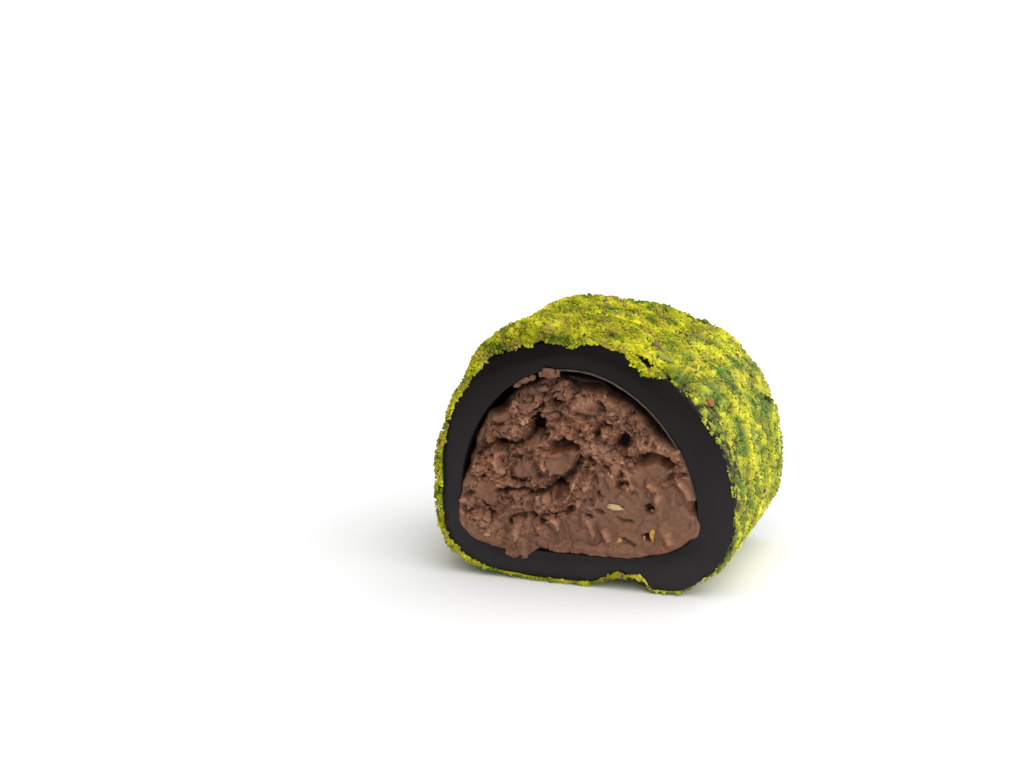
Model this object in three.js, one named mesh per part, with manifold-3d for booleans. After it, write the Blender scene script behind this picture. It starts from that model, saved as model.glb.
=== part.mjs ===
// A cut piece of rolled Turkish delight: a chocolate cream filling wrapped in a sheet of dark jelly
// and coated with chopped pistachio. Units are millimetres, +Z is up, and the front cut face looks to -Y.
import * as THREE from "three";
import { ImprovedNoise } from "three/addons/math/ImprovedNoise.js";
import { ParametricGeometry } from "three/addons/geometries/ParametricGeometry.js";
import { mergeVertices } from "three/addons/utils/BufferGeometryUtils.js";
import Module from "manifold-3d";

const wasm = await Module();
wasm.setup();

const { clamp, euclideanModulo, lerp, radToDeg, smoothstep } = THREE.MathUtils;
const FULL_TURN = 2 * Math.PI;

// Driving dimensions
const LENGTH = 26; // between the two cut faces
const TAPER = 0.03; // share of its size that the roll loses towards the back
const UNEVEN = { size: 0.35, alongWave: 26, crossWave: 38 }; // how far the hand-rolled log wanders
const LEAN = { size: 0.9, from: 24, to: 33 }; // how far the cut faces lie back at the top, between two heights
const FIT_GAP = 0.2; // between layers that touch

// Each outline is a rounded D about its own centre, with its own reach and roundness in each quarter
const JELLY = {
  x: 0, z: 12.5,
  left: 18.1, right: 21.9, above: 20.2, below: 12.5,
  topLeft: 2.37, topRight: 2.02, bottomLeft: 4.1, bottomRight: 3.27,
};
const CAVITY = {
  x: -1.5, z: 11,
  left: 14, right: 18.2, above: 18.1, below: 7.2,
  topLeft: 1.85, topRight: 1.95, bottomLeft: 3.9, bottomRight: 2.9,
};
const JELLY_EDGE = 0.45; // rounding of the jelly's cut edge
const JELLY_BULGE = 0.3; // how far the cut jelly swells out of the cut plane

// Under the roll the outer end of the sheet leaves a seam, and the sheet's edge beyond it stands on a foot
const SEAM = { from: 1.8, deepFrom: 6.4, deepTo: 9.3, to: 11.3, depth: 1.5 };
const FOOT = { from: 9.5, deepFrom: 12, deepTo: 14.5, to: 19.5, depth: 1 };
const UNDERSIDE = 7; // height at which the seam and the foot have faded out

// The filling has shrunk from the jelly at the upper right of the front face, round an angle in radians
const SHRINK = { angle: 0.95, full: 0.35, none: 0.95, width: 1.15, reach: 7 };

// Torn relief of the filling's cut faces: lumps, then holes at x, z with a radius and a depth
const LUMPS = [
  { size: 6.5, height: 1.1 },
  { size: 2.9, height: 1.5 },
];
const CREAM_LEAN = { top: 0.9, bottom: -0.35 }; // the cream lies back at its top and stands proud at its foot
const HOLES = [
  { x: -5.2, z: 20.8, radius: 2.3, depth: 2.2 },
  { x: -1.6, z: 17.9, radius: 2.8, depth: 1.5 },
  { x: -2.1, z: 13, radius: 2.2, depth: 2.2 },
  { x: 6.7, z: 20.3, radius: 2.4, depth: 1.8 },
  { x: 10.7, z: 18.2, radius: 2.3, depth: 1.4 },
  { x: 10.5, z: 11.5, radius: 1.8, depth: 1.2 },
  { x: -9.4, z: 18.8, radius: 2.2, depth: 1.3 },
];

const COAT = { thickness: 1, thinnest: 0.45, underneath: 0.45, setBack: 0.5, relief: 0.2, reliefSize: 3.5 };
// Where the coat is thicker or thinner, round the roll in degrees, and how far back from the front cut that goes
const SWELLS = [
  { angle: 112, half: 27, extra: 1.2, reach: 12 },
  { angle: 147, half: 26, extra: -0.7, reach: LENGTH },
  { angle: 182, half: 26, extra: 0.2, reach: LENGTH },
  { angle: 226, half: 34, extra: -0.7, reach: LENGTH },
  { angle: 328, half: 36, extra: -0.45, reach: LENGTH },
];
const REST_FLAT = 0.03; // how much of the coat's underside is pressed flat where the piece stands
const CRUMBS = { // sizes are radii; stretch, jitter, pressed and sunk are shares of a crumb's size
  columns: 31, rows: 6, scatter: 0.34, endMargin: 1.2,
  smallest: 1.15, largest: 1.9, stretch: 1.25, jitter: 0.2, pressed: 0.45, sunk: 0.14,
};

const SEGMENTS = 72; // round the roll
const STATIONS = evenSteps(0, LENGTH, 5); // along the roll, shared by the layers so that they stay nested
const FACE_CELLS = { across: 22, up: 17 }; // of the relief on each cut face of the filling
const COAT_STATIONS = 7;
const OUTLINE_SAMPLES = 360; // for measuring along the outline
const OVER = 5; // how far a cutter reaches past what it cuts
const WELD = 1e-4; // corners this close are one
const SEED = 20;

// Noise, random draws and outlines
const perlin = new ImprovedNoise();
let draws = SEED;
function random(low, high) {
  draws += 1;
  return lerp(low, high, THREE.MathUtils.seededRandom(draws));
}

function outlinePoint(outline, angle, grow = 0, growBelow = grow) {
  const sideways = Math.cos(angle);
  const upward = Math.sin(angle);
  const reachX = (sideways < 0 ? outline.left : outline.right) + grow;
  const reachZ = upward < 0 ? outline.below + growBelow : outline.above + grow;
  const top = sideways < 0 ? outline.topLeft : outline.topRight;
  const bottom = sideways < 0 ? outline.bottomLeft : outline.bottomRight;
  const power = upward < 0 ? bottom : top;
  const sum = Math.abs(sideways / reachX) ** power + Math.abs(upward / reachZ) ** power;
  const radius = sum ** (-1 / power);
  return new THREE.Vector2(outline.x + radius * sideways, outline.z + radius * upward);
}

// How strongly a feature of the underside acts at x, from 0 to 1
function across(feature, x) {
  return smoothstep(x, feature.from, feature.deepFrom) * (1 - smoothstep(x, feature.deepTo, feature.to));
}

// Shapes the underside: raised over the seam, lowered at the foot, and level where the piece stands
function standing(point, base) {
  const low = 1 - smoothstep(point.y, 0, UNDERSIDE);
  const shift = SEAM.depth * across(SEAM, point.x) - FOOT.depth * across(FOOT, point.x);
  point.y = Math.max(base, point.y + low * shift);
  return point;
}

// Puts a point of the section at a station along the roll, with the roll's taper and unevenness
function onRoll(point, y) {
  const scale = 1 - (TAPER * y) / LENGTH;
  const height = point.y + COAT.underneath;
  const share = height / (JELLY.z + JELLY.above);
  const sway = Math.sin(FULL_TURN * (y / UNEVEN.alongWave + point.y / UNEVEN.crossWave));
  const lift = Math.sin(FULL_TURN * (y / UNEVEN.crossWave + point.x / UNEVEN.alongWave));
  const lean = LEAN.size * smoothstep(point.y, LEAN.from, LEAN.to);
  const x = scale * point.x + share * UNEVEN.size * sway;
  const z = scale * height + share * UNEVEN.size * lift - COAT.underneath;
  return new THREE.Vector3(x, y + lean * (1 - (2 * y) / LENGTH), z);
}

function jellySkin(angle, y, grow = 0, growBelow = grow) {
  return onRoll(standing(outlinePoint(JELLY, angle, grow, growBelow), -growBelow), y);
}

function cavityWall(angle, y, grow = 0) {
  return onRoll(outlinePoint(CAVITY, angle, grow), y);
}

// Bodies made of loops: each loop gives the point at an angle, and each is joined to the next
function weld(geometry) {
  geometry.deleteAttribute("normal");
  geometry.deleteAttribute("uv");
  const merged = mergeVertices(geometry, WELD);
  const corners = merged.index.array;
  const kept = [];
  for (let i = 0; i < corners.length; i += 3) {
    const [a, b, c] = corners.slice(i, i + 3);
    if (a !== b && b !== c && c !== a) kept.push(a, b, c);
  }
  merged.setIndex(kept);
  return merged;
}

function loopBody(loops, closed) {
  const steps = closed ? loops.length : loops.length - 1;
  const surface = (u, v, target) => {
    const loop = loops[Math.round(v * steps) % loops.length];
    target.copy(loop(((1 - u) % 1) * FULL_TURN));
  };
  return weld(new ParametricGeometry(surface, SEGMENTS, steps));
}

function toSolid(geometry) {
  const vertProperties = new Float32Array(geometry.attributes.position.array);
  const triVerts = new Uint32Array(geometry.index.array);
  return new wasm.Manifold(new wasm.Mesh({ numProp: 3, vertProperties, triVerts }));
}

function toGeometry(solid) {
  const mesh = solid.getMesh();
  const geometry = new THREE.BufferGeometry();
  geometry.setAttribute("position", new THREE.BufferAttribute(mesh.vertProperties, 3));
  geometry.setIndex(new THREE.BufferAttribute(mesh.triVerts, 1));
  geometry.computeVertexNormals();
  return geometry;
}

// A plug with flat ends that fills an outline from one station to another
function plug(skin, stations) {
  const endPoint = (y) => {
    const middle = onRoll(new THREE.Vector2(JELLY.x, JELLY.z), y);
    return () => middle;
  };
  const first = stations[0];
  const last = stations[stations.length - 1];
  const loops = [endPoint(first), ...stations.map((y) => (angle) => skin(angle, y)), endPoint(last)];
  return loopBody(loops, false);
}

function evenSteps(from, to, count) {
  return Array.from({ length: count }, (_, i) => lerp(from, to, i / (count - 1)));
}

// The jelly: a thick D-shaped tube, open at both cut faces
function jelly() {
  const stations = [JELLY_EDGE, ...STATIONS.slice(1, -1), LENGTH - JELLY_EDGE];
  const halfway = 0.5;
  const bulge = (y) => (angle) => jellySkin(angle, y).lerp(cavityWall(angle, y), halfway);
  const loops = [
    (angle) => jellySkin(angle, 0, -JELLY_EDGE),
    ...stations.map((y) => (angle) => jellySkin(angle, y)),
    (angle) => jellySkin(angle, LENGTH, -JELLY_EDGE),
    bulge(LENGTH + JELLY_BULGE),
    ...STATIONS.toReversed().map((y) => (angle) => cavityWall(angle, y)),
    bulge(-JELLY_BULGE),
  ];
  return toGeometry(toSolid(loopBody(loops, true)));
}

// How far the torn face of the filling lies inside the cut plane
function tornDepth(x, z, layer, holes) {
  const height = smoothstep(z, CAVITY.z - CAVITY.below, CAVITY.z + CAVITY.above);
  let depth = lerp(CREAM_LEAN.bottom, CREAM_LEAN.top, height);
  for (const lump of LUMPS) {
    depth += lump.height * perlin.noise(x / lump.size, z / lump.size, layer + lump.size);
  }
  for (const hole of holes) {
    const away = Math.hypot(x - hole.x, z - hole.z) / hole.radius;
    depth += hole.depth * (1 - smoothstep(away, 0, 1));
  }
  return depth;
}

// A block as long as the roll whose two ends are torn, and which is wider than the filling
function tornBlock() {
  const width = CAVITY.left + CAVITY.right + OVER;
  const height = CAVITY.above + CAVITY.below + OVER;
  const block = new THREE.BoxGeometry(width, LENGTH, height, FACE_CELLS.across, 1, FACE_CELLS.up);
  const middleX = CAVITY.x + (CAVITY.right - CAVITY.left) / 2;
  const middleZ = CAVITY.z + (CAVITY.above - CAVITY.below) / 2;
  block.translate(middleX, LENGTH / 2, middleZ);
  const holesBehind = HOLES.map((hole) => ({ ...hole, x: 2 * middleX - hole.x }));
  const corners = block.attributes.position;
  for (let i = 0; i < corners.count; i += 1) {
    const x = corners.getX(i);
    const y = corners.getY(i);
    const z = corners.getZ(i);
    const isFront = y < LENGTH / 2;
    corners.setY(i, isFront ? tornDepth(x, z, 0, HOLES) : LENGTH - tornDepth(x, z, LENGTH, holesBehind));
  }
  return weld(block);
}

function shrinkage(angle, y) {
  const away = Math.abs(angle - SHRINK.angle);
  const round = 1 - smoothstep(away, SHRINK.full, SHRINK.none);
  return SHRINK.width * round * (1 - smoothstep(y, 0, SHRINK.reach));
}

// The filling: a D-shaped core through the whole roll, torn at both cut faces
function filling() {
  const wall = (angle, y) => cavityWall(angle, y, -FIT_GAP - shrinkage(angle, y));
  const core = plug(wall, [-OVER, ...STATIONS, LENGTH + OVER]);
  return toGeometry(toSolid(tornBlock()).intersect(toSolid(core)));
}

function coatThickness(angle, y) {
  let thickness = COAT.thickness;
  for (const swell of SWELLS) {
    const turn = euclideanModulo(radToDeg(angle) - swell.angle + 180, 360) - 180;
    const round = 1 - smoothstep(Math.abs(turn), swell.half / 5, swell.half);
    thickness += swell.extra * round * (1 - smoothstep(y, swell.reach / 3, swell.reach));
  }
  return Math.max(COAT.thinnest, thickness);
}

// The coat's outer face, with the uneven relief of packed pistachio dust
function coatSkin(angle, y) {
  const thickness = coatThickness(angle, y);
  const flat = jellySkin(angle, y, thickness, COAT.underneath);
  const size = COAT.reliefSize;
  const dust = COAT.relief * perlin.noise(flat.x / size, flat.y / size, flat.z / size);
  return jellySkin(angle, y, thickness + dust, COAT.underneath);
}

// Angles spaced evenly along the outline
function evenAngle(share) {
  const reach = [0];
  for (let i = 1; i <= OUTLINE_SAMPLES; i += 1) {
    const before = outlinePoint(JELLY, ((i - 1) / OUTLINE_SAMPLES) * FULL_TURN);
    const here = outlinePoint(JELLY, (i / OUTLINE_SAMPLES) * FULL_TURN);
    reach.push(reach[i - 1] + before.distanceTo(here));
  }
  const wanted = share * reach[OUTLINE_SAMPLES];
  const next = reach.findIndex((length) => length >= wanted);
  return (next / OUTLINE_SAMPLES) * FULL_TURN;
}

// One chip of pistachio: an uneven twenty-sided grain, pressed flat against the coat
function crumb(angle, y) {
  const step = 0.02; // small enough to give the skin's slope
  const place = coatSkin(angle, y);
  const round = coatSkin(angle + step, y).sub(place).normalize();
  const along = coatSkin(angle, y + step).sub(place).normalize();
  const outward = new THREE.Vector3().crossVectors(along, round).normalize();
  along.crossVectors(outward, round);
  const size = lerp(CRUMBS.smallest, CRUMBS.largest, random(0, 1) ** 2);
  const stretch = random(1 / CRUMBS.stretch, CRUMBS.stretch);
  const grain = weld(new THREE.IcosahedronGeometry(1, 0));
  const corners = grain.attributes.position;
  const corner = new THREE.Vector3();
  for (let i = 0; i < corners.count; i += 1) {
    corner.fromBufferAttribute(corners, i);
    corner.multiplyScalar(size * (1 + random(-CRUMBS.jitter, CRUMBS.jitter)));
    corners.setXYZ(i, corner.x, corner.y, corner.z);
  }
  grain.scale(stretch, 1 / stretch, CRUMBS.pressed);
  grain.rotateZ(random(0, FULL_TURN));
  grain.translate(0, 0, -CRUMBS.sunk * size);
  grain.applyMatrix4(new THREE.Matrix4().makeBasis(round, along, outward));
  grain.translate(place.x, place.y, place.z);
  return toSolid(grain);
}

// Crumbs spread evenly over the coat, on staggered rows with some scatter
function crumbs() {
  const margin = COAT.setBack + CRUMBS.endMargin;
  const grains = [];
  for (let row = 0; row < CRUMBS.rows; row += 1) {
    for (let column = 0; column < CRUMBS.columns; column += 1) {
      const stagger = (row % 2) / 2;
      const turn = column + stagger + random(-CRUMBS.scatter, CRUMBS.scatter);
      const place = row + random(-CRUMBS.scatter, CRUMBS.scatter);
      const share = (turn + CRUMBS.columns) / CRUMBS.columns;
      const y = lerp(margin, LENGTH - margin, clamp(place / (CRUMBS.rows - 1), 0, 1));
      grains.push(crumb(evenAngle(share % 1), y));
    }
  }
  return grains;
}

// The coat: a thin sleeve of packed pistachio with the larger crumbs fused on, flat where it rests
function coat() {
  const sleeve = plug(coatSkin, evenSteps(COAT.setBack, LENGTH - COAT.setBack, COAT_STATIONS));
  const joined = crumbs().reduce((sum, grain) => sum.add(grain), toSolid(sleeve));
  const bore = plug((angle, y) => jellySkin(angle, y, FIT_GAP), [-OVER, ...STATIONS, LENGTH + OVER]);
  const floorSize = 4 * LENGTH; // wider than the piece on every side
  const floor = new THREE.BoxGeometry(floorSize, floorSize, OVER);
  floor.translate(0, LENGTH / 2, REST_FLAT - COAT.underneath - OVER / 2);
  return toGeometry(joined.subtract(toSolid(bore)).subtract(toSolid(weld(floor))));
}

function named(name, geometry, material) {
  const mesh = new THREE.Mesh(geometry, new THREE.MeshStandardMaterial(material));
  mesh.name = name;
  return mesh;
}

const roll = new THREE.Group();
roll.add(named("lokum_shell", jelly(), { color: 0x2b2729, roughness: 0.45, metalness: 0 }));
roll.add(named("chocolate_filling", filling(), { color: 0x6e4a39, roughness: 0.65, metalness: 0 }));
roll.add(named("pistachio_coat", coat(), { color: 0xaab033, roughness: 0.85, metalness: 0 }));

// The origin is under the middle of the piece, on the surface it rests on
const bounds = new THREE.Box3().setFromObject(roll, true);
const centre = bounds.getCenter(new THREE.Vector3());
roll.position.set(-centre.x, -centre.y, -bounds.min.z);

const turkishDelight = new THREE.Group();
turkishDelight.add(roll);

export default turkishDelight;
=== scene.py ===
"""Looks of a cut piece of rolled turkish delight.

A ring of dark jelly lies round torn chocolate cream, under a coat of chopped pistachio.
"""

import math
from types import SimpleNamespace as Values

import bmesh
import bpy
import numpy as np
from mathutils import Matrix, Vector, noise


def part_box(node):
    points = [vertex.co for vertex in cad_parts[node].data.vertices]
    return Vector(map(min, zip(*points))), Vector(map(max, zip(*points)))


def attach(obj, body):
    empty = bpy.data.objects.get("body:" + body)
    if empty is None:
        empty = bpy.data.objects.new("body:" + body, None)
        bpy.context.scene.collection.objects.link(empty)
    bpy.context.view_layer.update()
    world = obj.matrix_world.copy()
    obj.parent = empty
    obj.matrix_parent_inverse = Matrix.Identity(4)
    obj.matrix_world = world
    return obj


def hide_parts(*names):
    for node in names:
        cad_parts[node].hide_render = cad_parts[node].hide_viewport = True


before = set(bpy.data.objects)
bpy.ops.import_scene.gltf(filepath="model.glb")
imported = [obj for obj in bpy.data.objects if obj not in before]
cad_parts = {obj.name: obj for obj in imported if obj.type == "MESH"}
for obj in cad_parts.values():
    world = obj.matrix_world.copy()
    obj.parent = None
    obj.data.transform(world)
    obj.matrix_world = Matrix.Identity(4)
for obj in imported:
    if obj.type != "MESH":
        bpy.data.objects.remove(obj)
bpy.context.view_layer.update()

# Sizes are in millimetres, in the roll's own frame: x goes across it, y along it from the front
# cut, and z up from the jelly's foot

MM = 0.001
LENGTH = 26.0
TAPER = 0.03  # share of its size that the roll loses towards the back
UNEVEN = Values(size=0.35, along_wave=26.0, cross_wave=38.0)
JELLY = Values(x=0.0, z=12.5, left=18.1, right=21.9, above=20.2, below=12.5,
               top_left=2.37, top_right=2.02, bottom_left=4.1, bottom_right=3.27)
CAVITY = Values(x=-1.5, z=11.0, left=14.0, right=18.2, above=18.1, below=7.2,
                top_left=1.85, top_right=1.95, bottom_left=3.9, bottom_right=2.9)
SEAM = Values(start=1.8, deep_from=6.4, deep_to=9.3, end=11.3, depth=1.5)
FOOT = Values(start=9.5, deep_from=12.0, deep_to=14.5, end=19.5, depth=1.0)
UNDERSIDE = 7.0  # height at which the seam and the foot have faded out
FACE_LEAN = Values(size=0.9, heights=(24.0, 33.0))  # how far the cut faces lie back at the top
FLOOR_Z = -0.42  # the floor, under the jelly's foot
COAT_UNDERNEATH = 0.45
JELLY_BULGE = 0.3  # how far the cut jelly swells out of the cut plane
BOX_STEPS = Values(round_roll=720, along=5)  # at which the jelly's box is measured

FULL_TURN = 2 * math.pi
QUARTER_TURN = math.pi / 2
SEED = 20


# Helpers


def table(columns, *rows):
    """Rows of values with the names of the columns."""
    return [Values(**dict(zip(columns.split(), row))) for row in rows]


def between(low, high, share):
    return low + (high - low) * share


def smoothstep(value, low, high):
    """0 up to low and 1 from high on."""
    share = np.clip((value - low) / (high - low), 0.0, 1.0)
    return share * share * (3 - 2 * share)


def fading(value, low, high):
    """1 up to low and 0 from high on."""
    return 1 - smoothstep(value, low, high)


def bulge(angle, part, core):
    """How strongly a part acts round the roll: fully over the core share of its half width."""
    away = np.abs(np.mod(np.degrees(angle) - part.angle + 180, 360) - 180) / part.half
    return fading(away, core, 1.0)


def unit(vectors):
    return vectors / np.linalg.norm(vectors, axis=1, keepdims=True)


# Outlines and the roll's surface


def outline(shape, angle, grow=0.0, grow_below=None):
    """A rounded D: x and z at each angle, grown outwards, and by grow_below on its underside."""
    grow_below = grow if grow_below is None else grow_below
    sideways = np.cos(angle)
    upward = np.sin(angle)
    reach_x = np.where(sideways < 0, shape.left, shape.right) + grow
    reach_z = np.where(upward < 0, shape.below + grow_below, shape.above + grow)
    top = np.where(sideways < 0, shape.top_left, shape.top_right)
    bottom = np.where(sideways < 0, shape.bottom_left, shape.bottom_right)
    power = np.where(upward < 0, bottom, top)
    total = np.abs(sideways / reach_x) ** power + np.abs(upward / reach_z) ** power
    radius = total ** (-1 / power)
    return shape.x + radius * sideways, shape.z + radius * upward


def strength(feature, x):
    """How strongly a feature of the underside acts at x, from 0 to 1."""
    rise = smoothstep(x, feature.start, feature.deep_from)
    return rise * fading(x, feature.deep_to, feature.end)


def standing(x, z, base):
    """The underside: raised over the seam, lowered at the foot and level where the piece stands."""
    low = fading(z, 0.0, UNDERSIDE)
    shift = SEAM.depth * strength(SEAM, x) - FOOT.depth * strength(FOOT, x)
    return np.maximum(base, z + low * shift)


def on_roll(x, y, z):
    """A point of the section at a station along the roll, with the roll's taper and unevenness."""
    x, y, z = np.broadcast_arrays(x, y, z)
    scale = 1 - TAPER * y / LENGTH
    height = z + COAT_UNDERNEATH
    share = height / (JELLY.z + JELLY.above)
    sway = np.sin(FULL_TURN * (y / UNEVEN.along_wave + z / UNEVEN.cross_wave))
    lift = np.sin(FULL_TURN * (y / UNEVEN.cross_wave + x / UNEVEN.along_wave))
    lean = FACE_LEAN.size * smoothstep(z, *FACE_LEAN.heights)
    new_x = scale * x + share * UNEVEN.size * sway
    new_y = y + lean * (1 - 2 * y / LENGTH)
    new_z = scale * height + share * UNEVEN.size * lift - COAT_UNDERNEATH
    return np.stack([new_x, new_y, new_z], axis=-1)


def jelly_skin(angle, y, grow=0.0, grow_below=None):
    grow_below = grow if grow_below is None else grow_below
    x, z = outline(JELLY, angle, grow, grow_below)
    return on_roll(x, y, standing(x, z, -np.asarray(grow_below)))


def cavity_wall(angle, y, grow=0.0):
    x, z = outline(CAVITY, angle, grow)
    return on_roll(x, y, z)


def roll_shift():
    """From the roll's frame to the CAD frame, where the jelly's box is known."""
    angle = np.linspace(0, FULL_TURN, BOX_STEPS.round_roll)[:, None]
    across = jelly_skin(angle, np.linspace(0, LENGTH, BOX_STEPS.along)[None, :])[..., 0]
    low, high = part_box("lokum_shell")
    middle = (low.x + high.x) / 2 / MM - (across.min() + across.max()) / 2
    return np.array([middle, low.y / MM + JELLY_BULGE, -FLOOR_Z])


SHIFT = roll_shift()


def to_frame(points):
    """Roll millimetres to CAD metres."""
    return (np.asarray(points) + SHIFT) * MM


# Noise at many points: a pattern has a size in millimetres, a seed and a strength

NOISE_SHIFT = np.array([17.31, 5.77, 11.93])  # moves one pattern away from the next
FRACTAL = (0.8, 2.1, 3)  # falloff, step in size and count of octaves
MIXER = np.array([[12.9, 39.3, 73.1], [78.2, 11.1, 52.2], [37.7, 83.2, 9.1]])
MIXER_SIZE = 43758.5


def noise_at(points, size, seed, strength=1.0):
    scaled = points / size + seed * NOISE_SHIFT
    return strength * np.array([noise.noise(point) for point in scaled.tolist()])


def waves_at(points, patterns):
    """Sum of noise patterns."""
    return sum(noise_at(points, *pattern) for pattern in patterns)


def fractal_at(points, size, seed, strength):
    scaled = points / size + seed * NOISE_SHIFT
    values = [noise.fractal(point, *FRACTAL) for point in scaled.tolist()]
    return strength * np.array(values)


def cells_at(points, size, seed):
    """Distance and offset from the nearest cell's centre, and three random numbers for that cell."""
    scaled = points / size + seed * NOISE_SHIFT
    found = [noise.voronoi(point) for point in scaled.tolist()]
    first = np.array([distances[0] for distances, _ in found])
    centre = np.array([tuple(centres[0]) for _, centres in found])
    mixed = np.sin(centre @ MIXER) * MIXER_SIZE
    return first, (scaled - centre) * size, mixed - np.floor(mixed)


# Meshes


def add_object(name, data):
    """A new object in the scene, with its mesh, camera or lamp."""
    item = bpy.data.objects.new(name, data)
    bpy.context.scene.collection.objects.link(item)
    return item


def new_piece(name, points, faces, material, tint=None):
    mesh = bpy.data.meshes.new(name)
    mesh.from_pydata(to_frame(points).tolist(), [], faces if isinstance(faces, list) else faces.tolist())
    mesh.update()
    if tint is not None:
        colours = np.ones((len(points), 4), np.float32)
        colours[:, :3] = tint
        attribute = mesh.attributes.new("tint", "FLOAT_COLOR", "POINT")
        attribute.data.foreach_set("color", colours.ravel())
    mesh.materials.append(material)
    return add_object(name, mesh)


def loop_faces(loops, segments, closed):
    """Quads that join each loop of points to the next, and the last to the first if closed."""
    rows = np.arange(loops if closed else loops - 1)[:, None]
    columns = np.arange(segments)[None, :]
    after = (columns + 1) % segments
    here = rows * segments
    there = (rows + 1) % loops * segments
    quads = np.stack([here + columns, here + after, there + after, there + columns], axis=-1)
    return quads.reshape(-1, 4)


def finish_piece(piece, node=None, sharp_angle=None):
    piece.data.shade_smooth()
    if sharp_angle is not None:
        piece.data.set_sharp_from_angle(angle=math.radians(sharp_angle))
    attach(piece, "root")
    if node is not None:
        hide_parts(node)


# Materials

# Looks of the tinted materials: the wave of their grain in millimetres, how far it lightens and
# darkens the colour, and the depth and strength of its relief
CREAM_LOOK, FILM_LOOK, NUT_LOOK, SLEEVE_LOOK, CRUMB_LOOK = table(
    "roughness specular wave contrast depth amount",
    (0.46, 0.3, 0.45, 0.26, 0.1, 0.6), (0.5, 0.15, 0.5, 0.2, 0.05, 0.3), (0.4, 0.4, 0.5, 0.3, 0.05, 0.3),
    (0.8, 0.1, 0.5, 0.15, 0.08, 0.4), (0.75, 0.1, 0.5, 0.08, 0.06, 0.35))
GRAIN_TEXTURE = dict(detail=5.0, roughness=0.6)
GRAIN_SPAN = (0.25, 0.75)  # of the noise, from the darkest to the lightest
ROUGHNESS_SPREAD = 0.12


def new_material(name, roughness, specular):
    material = bpy.data.materials.new(name)
    material.use_nodes = True
    shader = material.node_tree.nodes["Principled BSDF"]
    shader.inputs["Roughness"].default_value = roughness
    shader.inputs["Specular IOR Level"].default_value = specular
    return material, material.node_tree, shader


def add_node(tree, kind, **values):
    """A new node: each value goes to the input or setting of its name, and a socket is linked."""
    node = tree.nodes.new(kind)
    for name, value in values.items():
        if isinstance(value, bpy.types.NodeSocket):
            tree.links.new(value, node.inputs[name])
        elif name in node.inputs:
            node.inputs[name].default_value = value
        else:
            setattr(node, name, value)
    return node


def noise_texture(tree, wave, detail=3.0, roughness=0.55):
    """Noise in the object's own frame, with waves of the given millimetres."""
    place = add_node(tree, "ShaderNodeTexCoord").outputs["Object"]
    texture = add_node(tree, "ShaderNodeTexNoise", Vector=place, Scale=1 / (wave * MM), Detail=detail,
                       Roughness=roughness)
    return texture.outputs["Fac"]


def ramp(tree, source, stops):
    """Colour from a value: each stop has a position and a colour, or a grey level."""
    node = add_node(tree, "ShaderNodeValToRGB", Fac=source)
    elements = node.color_ramp.elements
    while len(elements) < len(stops):
        elements.new(0.5)
    for element, (position, colour) in zip(elements, stops):
        element.position = position
        element.color = (*(colour if isinstance(colour, tuple) else (colour,) * 3), 1.0)
    return node.outputs["Color"]


def multiply(tree, shader, first, second):
    """Base colour from the product of two colours."""
    mix = add_node(tree, "ShaderNodeMix", data_type="RGBA", blend_type="MULTIPLY", Factor=1.0)
    tree.links.new(first, mix.inputs["A"])
    tree.links.new(second, mix.inputs["B"])
    tree.links.new(mix.outputs["Result"], shader.inputs["Base Color"])


def bump(tree, shader, height, depth, amount):
    """Fine relief, depth in millimetres."""
    node = add_node(tree, "ShaderNodeBump", Height=height, Distance=depth * MM, Strength=amount)
    tree.links.new(node.outputs["Normal"], shader.inputs["Normal"])


def roughness_from(tree, shader, source, low, high):
    node = add_node(tree, "ShaderNodeMapRange", **{"Value": source, "To Min": low, "To Max": high})
    tree.links.new(node.outputs["Result"], shader.inputs["Roughness"])


def tinted_material(name, look):
    """Colour from the mesh's tint, made lighter and darker by noise."""
    material, tree, shader = new_material(name, look.roughness, look.specular)
    tint = add_node(tree, "ShaderNodeAttribute", attribute_name="tint").outputs["Color"]
    grain = noise_texture(tree, look.wave, **GRAIN_TEXTURE)
    darkest, lightest = GRAIN_SPAN
    shade = ramp(tree, grain, [(darkest, 1 - look.contrast), (lightest, 1 + look.contrast)])
    multiply(tree, shader, tint, shade)
    smoothest, roughest = look.roughness - ROUGHNESS_SPREAD, look.roughness + ROUGHNESS_SPREAD
    roughness_from(tree, shader, grain, smoothest, roughest)
    bump(tree, shader, grain, look.depth, look.amount)
    return material


# The jelly

JELLY_TOP = 33.0
# Painted light: colours by share of the height, from the foot to the top, lighter near the floor and darker
# at the top
JELLY_COLOURS_WITH_PAINTED_LIGHT = [(0.0, (0.021, 0.0175, 0.0188)), (0.36, (0.0135, 0.0105, 0.012)),
                 (0.9, (0.004, 0.0022, 0.0009))]
JELLY_GLOSS = dict(roughness=0.4, specular=0.18)
JELLY_CLOUD = Values(wave=5.5, levels=[(0.3, 0.75), (0.75, 1.2)], roughness=(0.32, 0.5))
JELLY_FINE = Values(wave=1.1, detail=4.0, depth=0.2, amount=0.12)
JELLY_EDGE = 0.45  # rounding of the jelly's outer edge
CAVITY_EDGE = 0.3  # rounding of its inner edge
SEAM_FADE = 0.9  # share of the face over which the seam and the foot fade
JELLY_STEPS = Values(round_roll=300, along=24, edge=7, face=20)
JELLY_WAVES = [(4.5, 1, 0.07), (1.3, 2, 0.02)]


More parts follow.
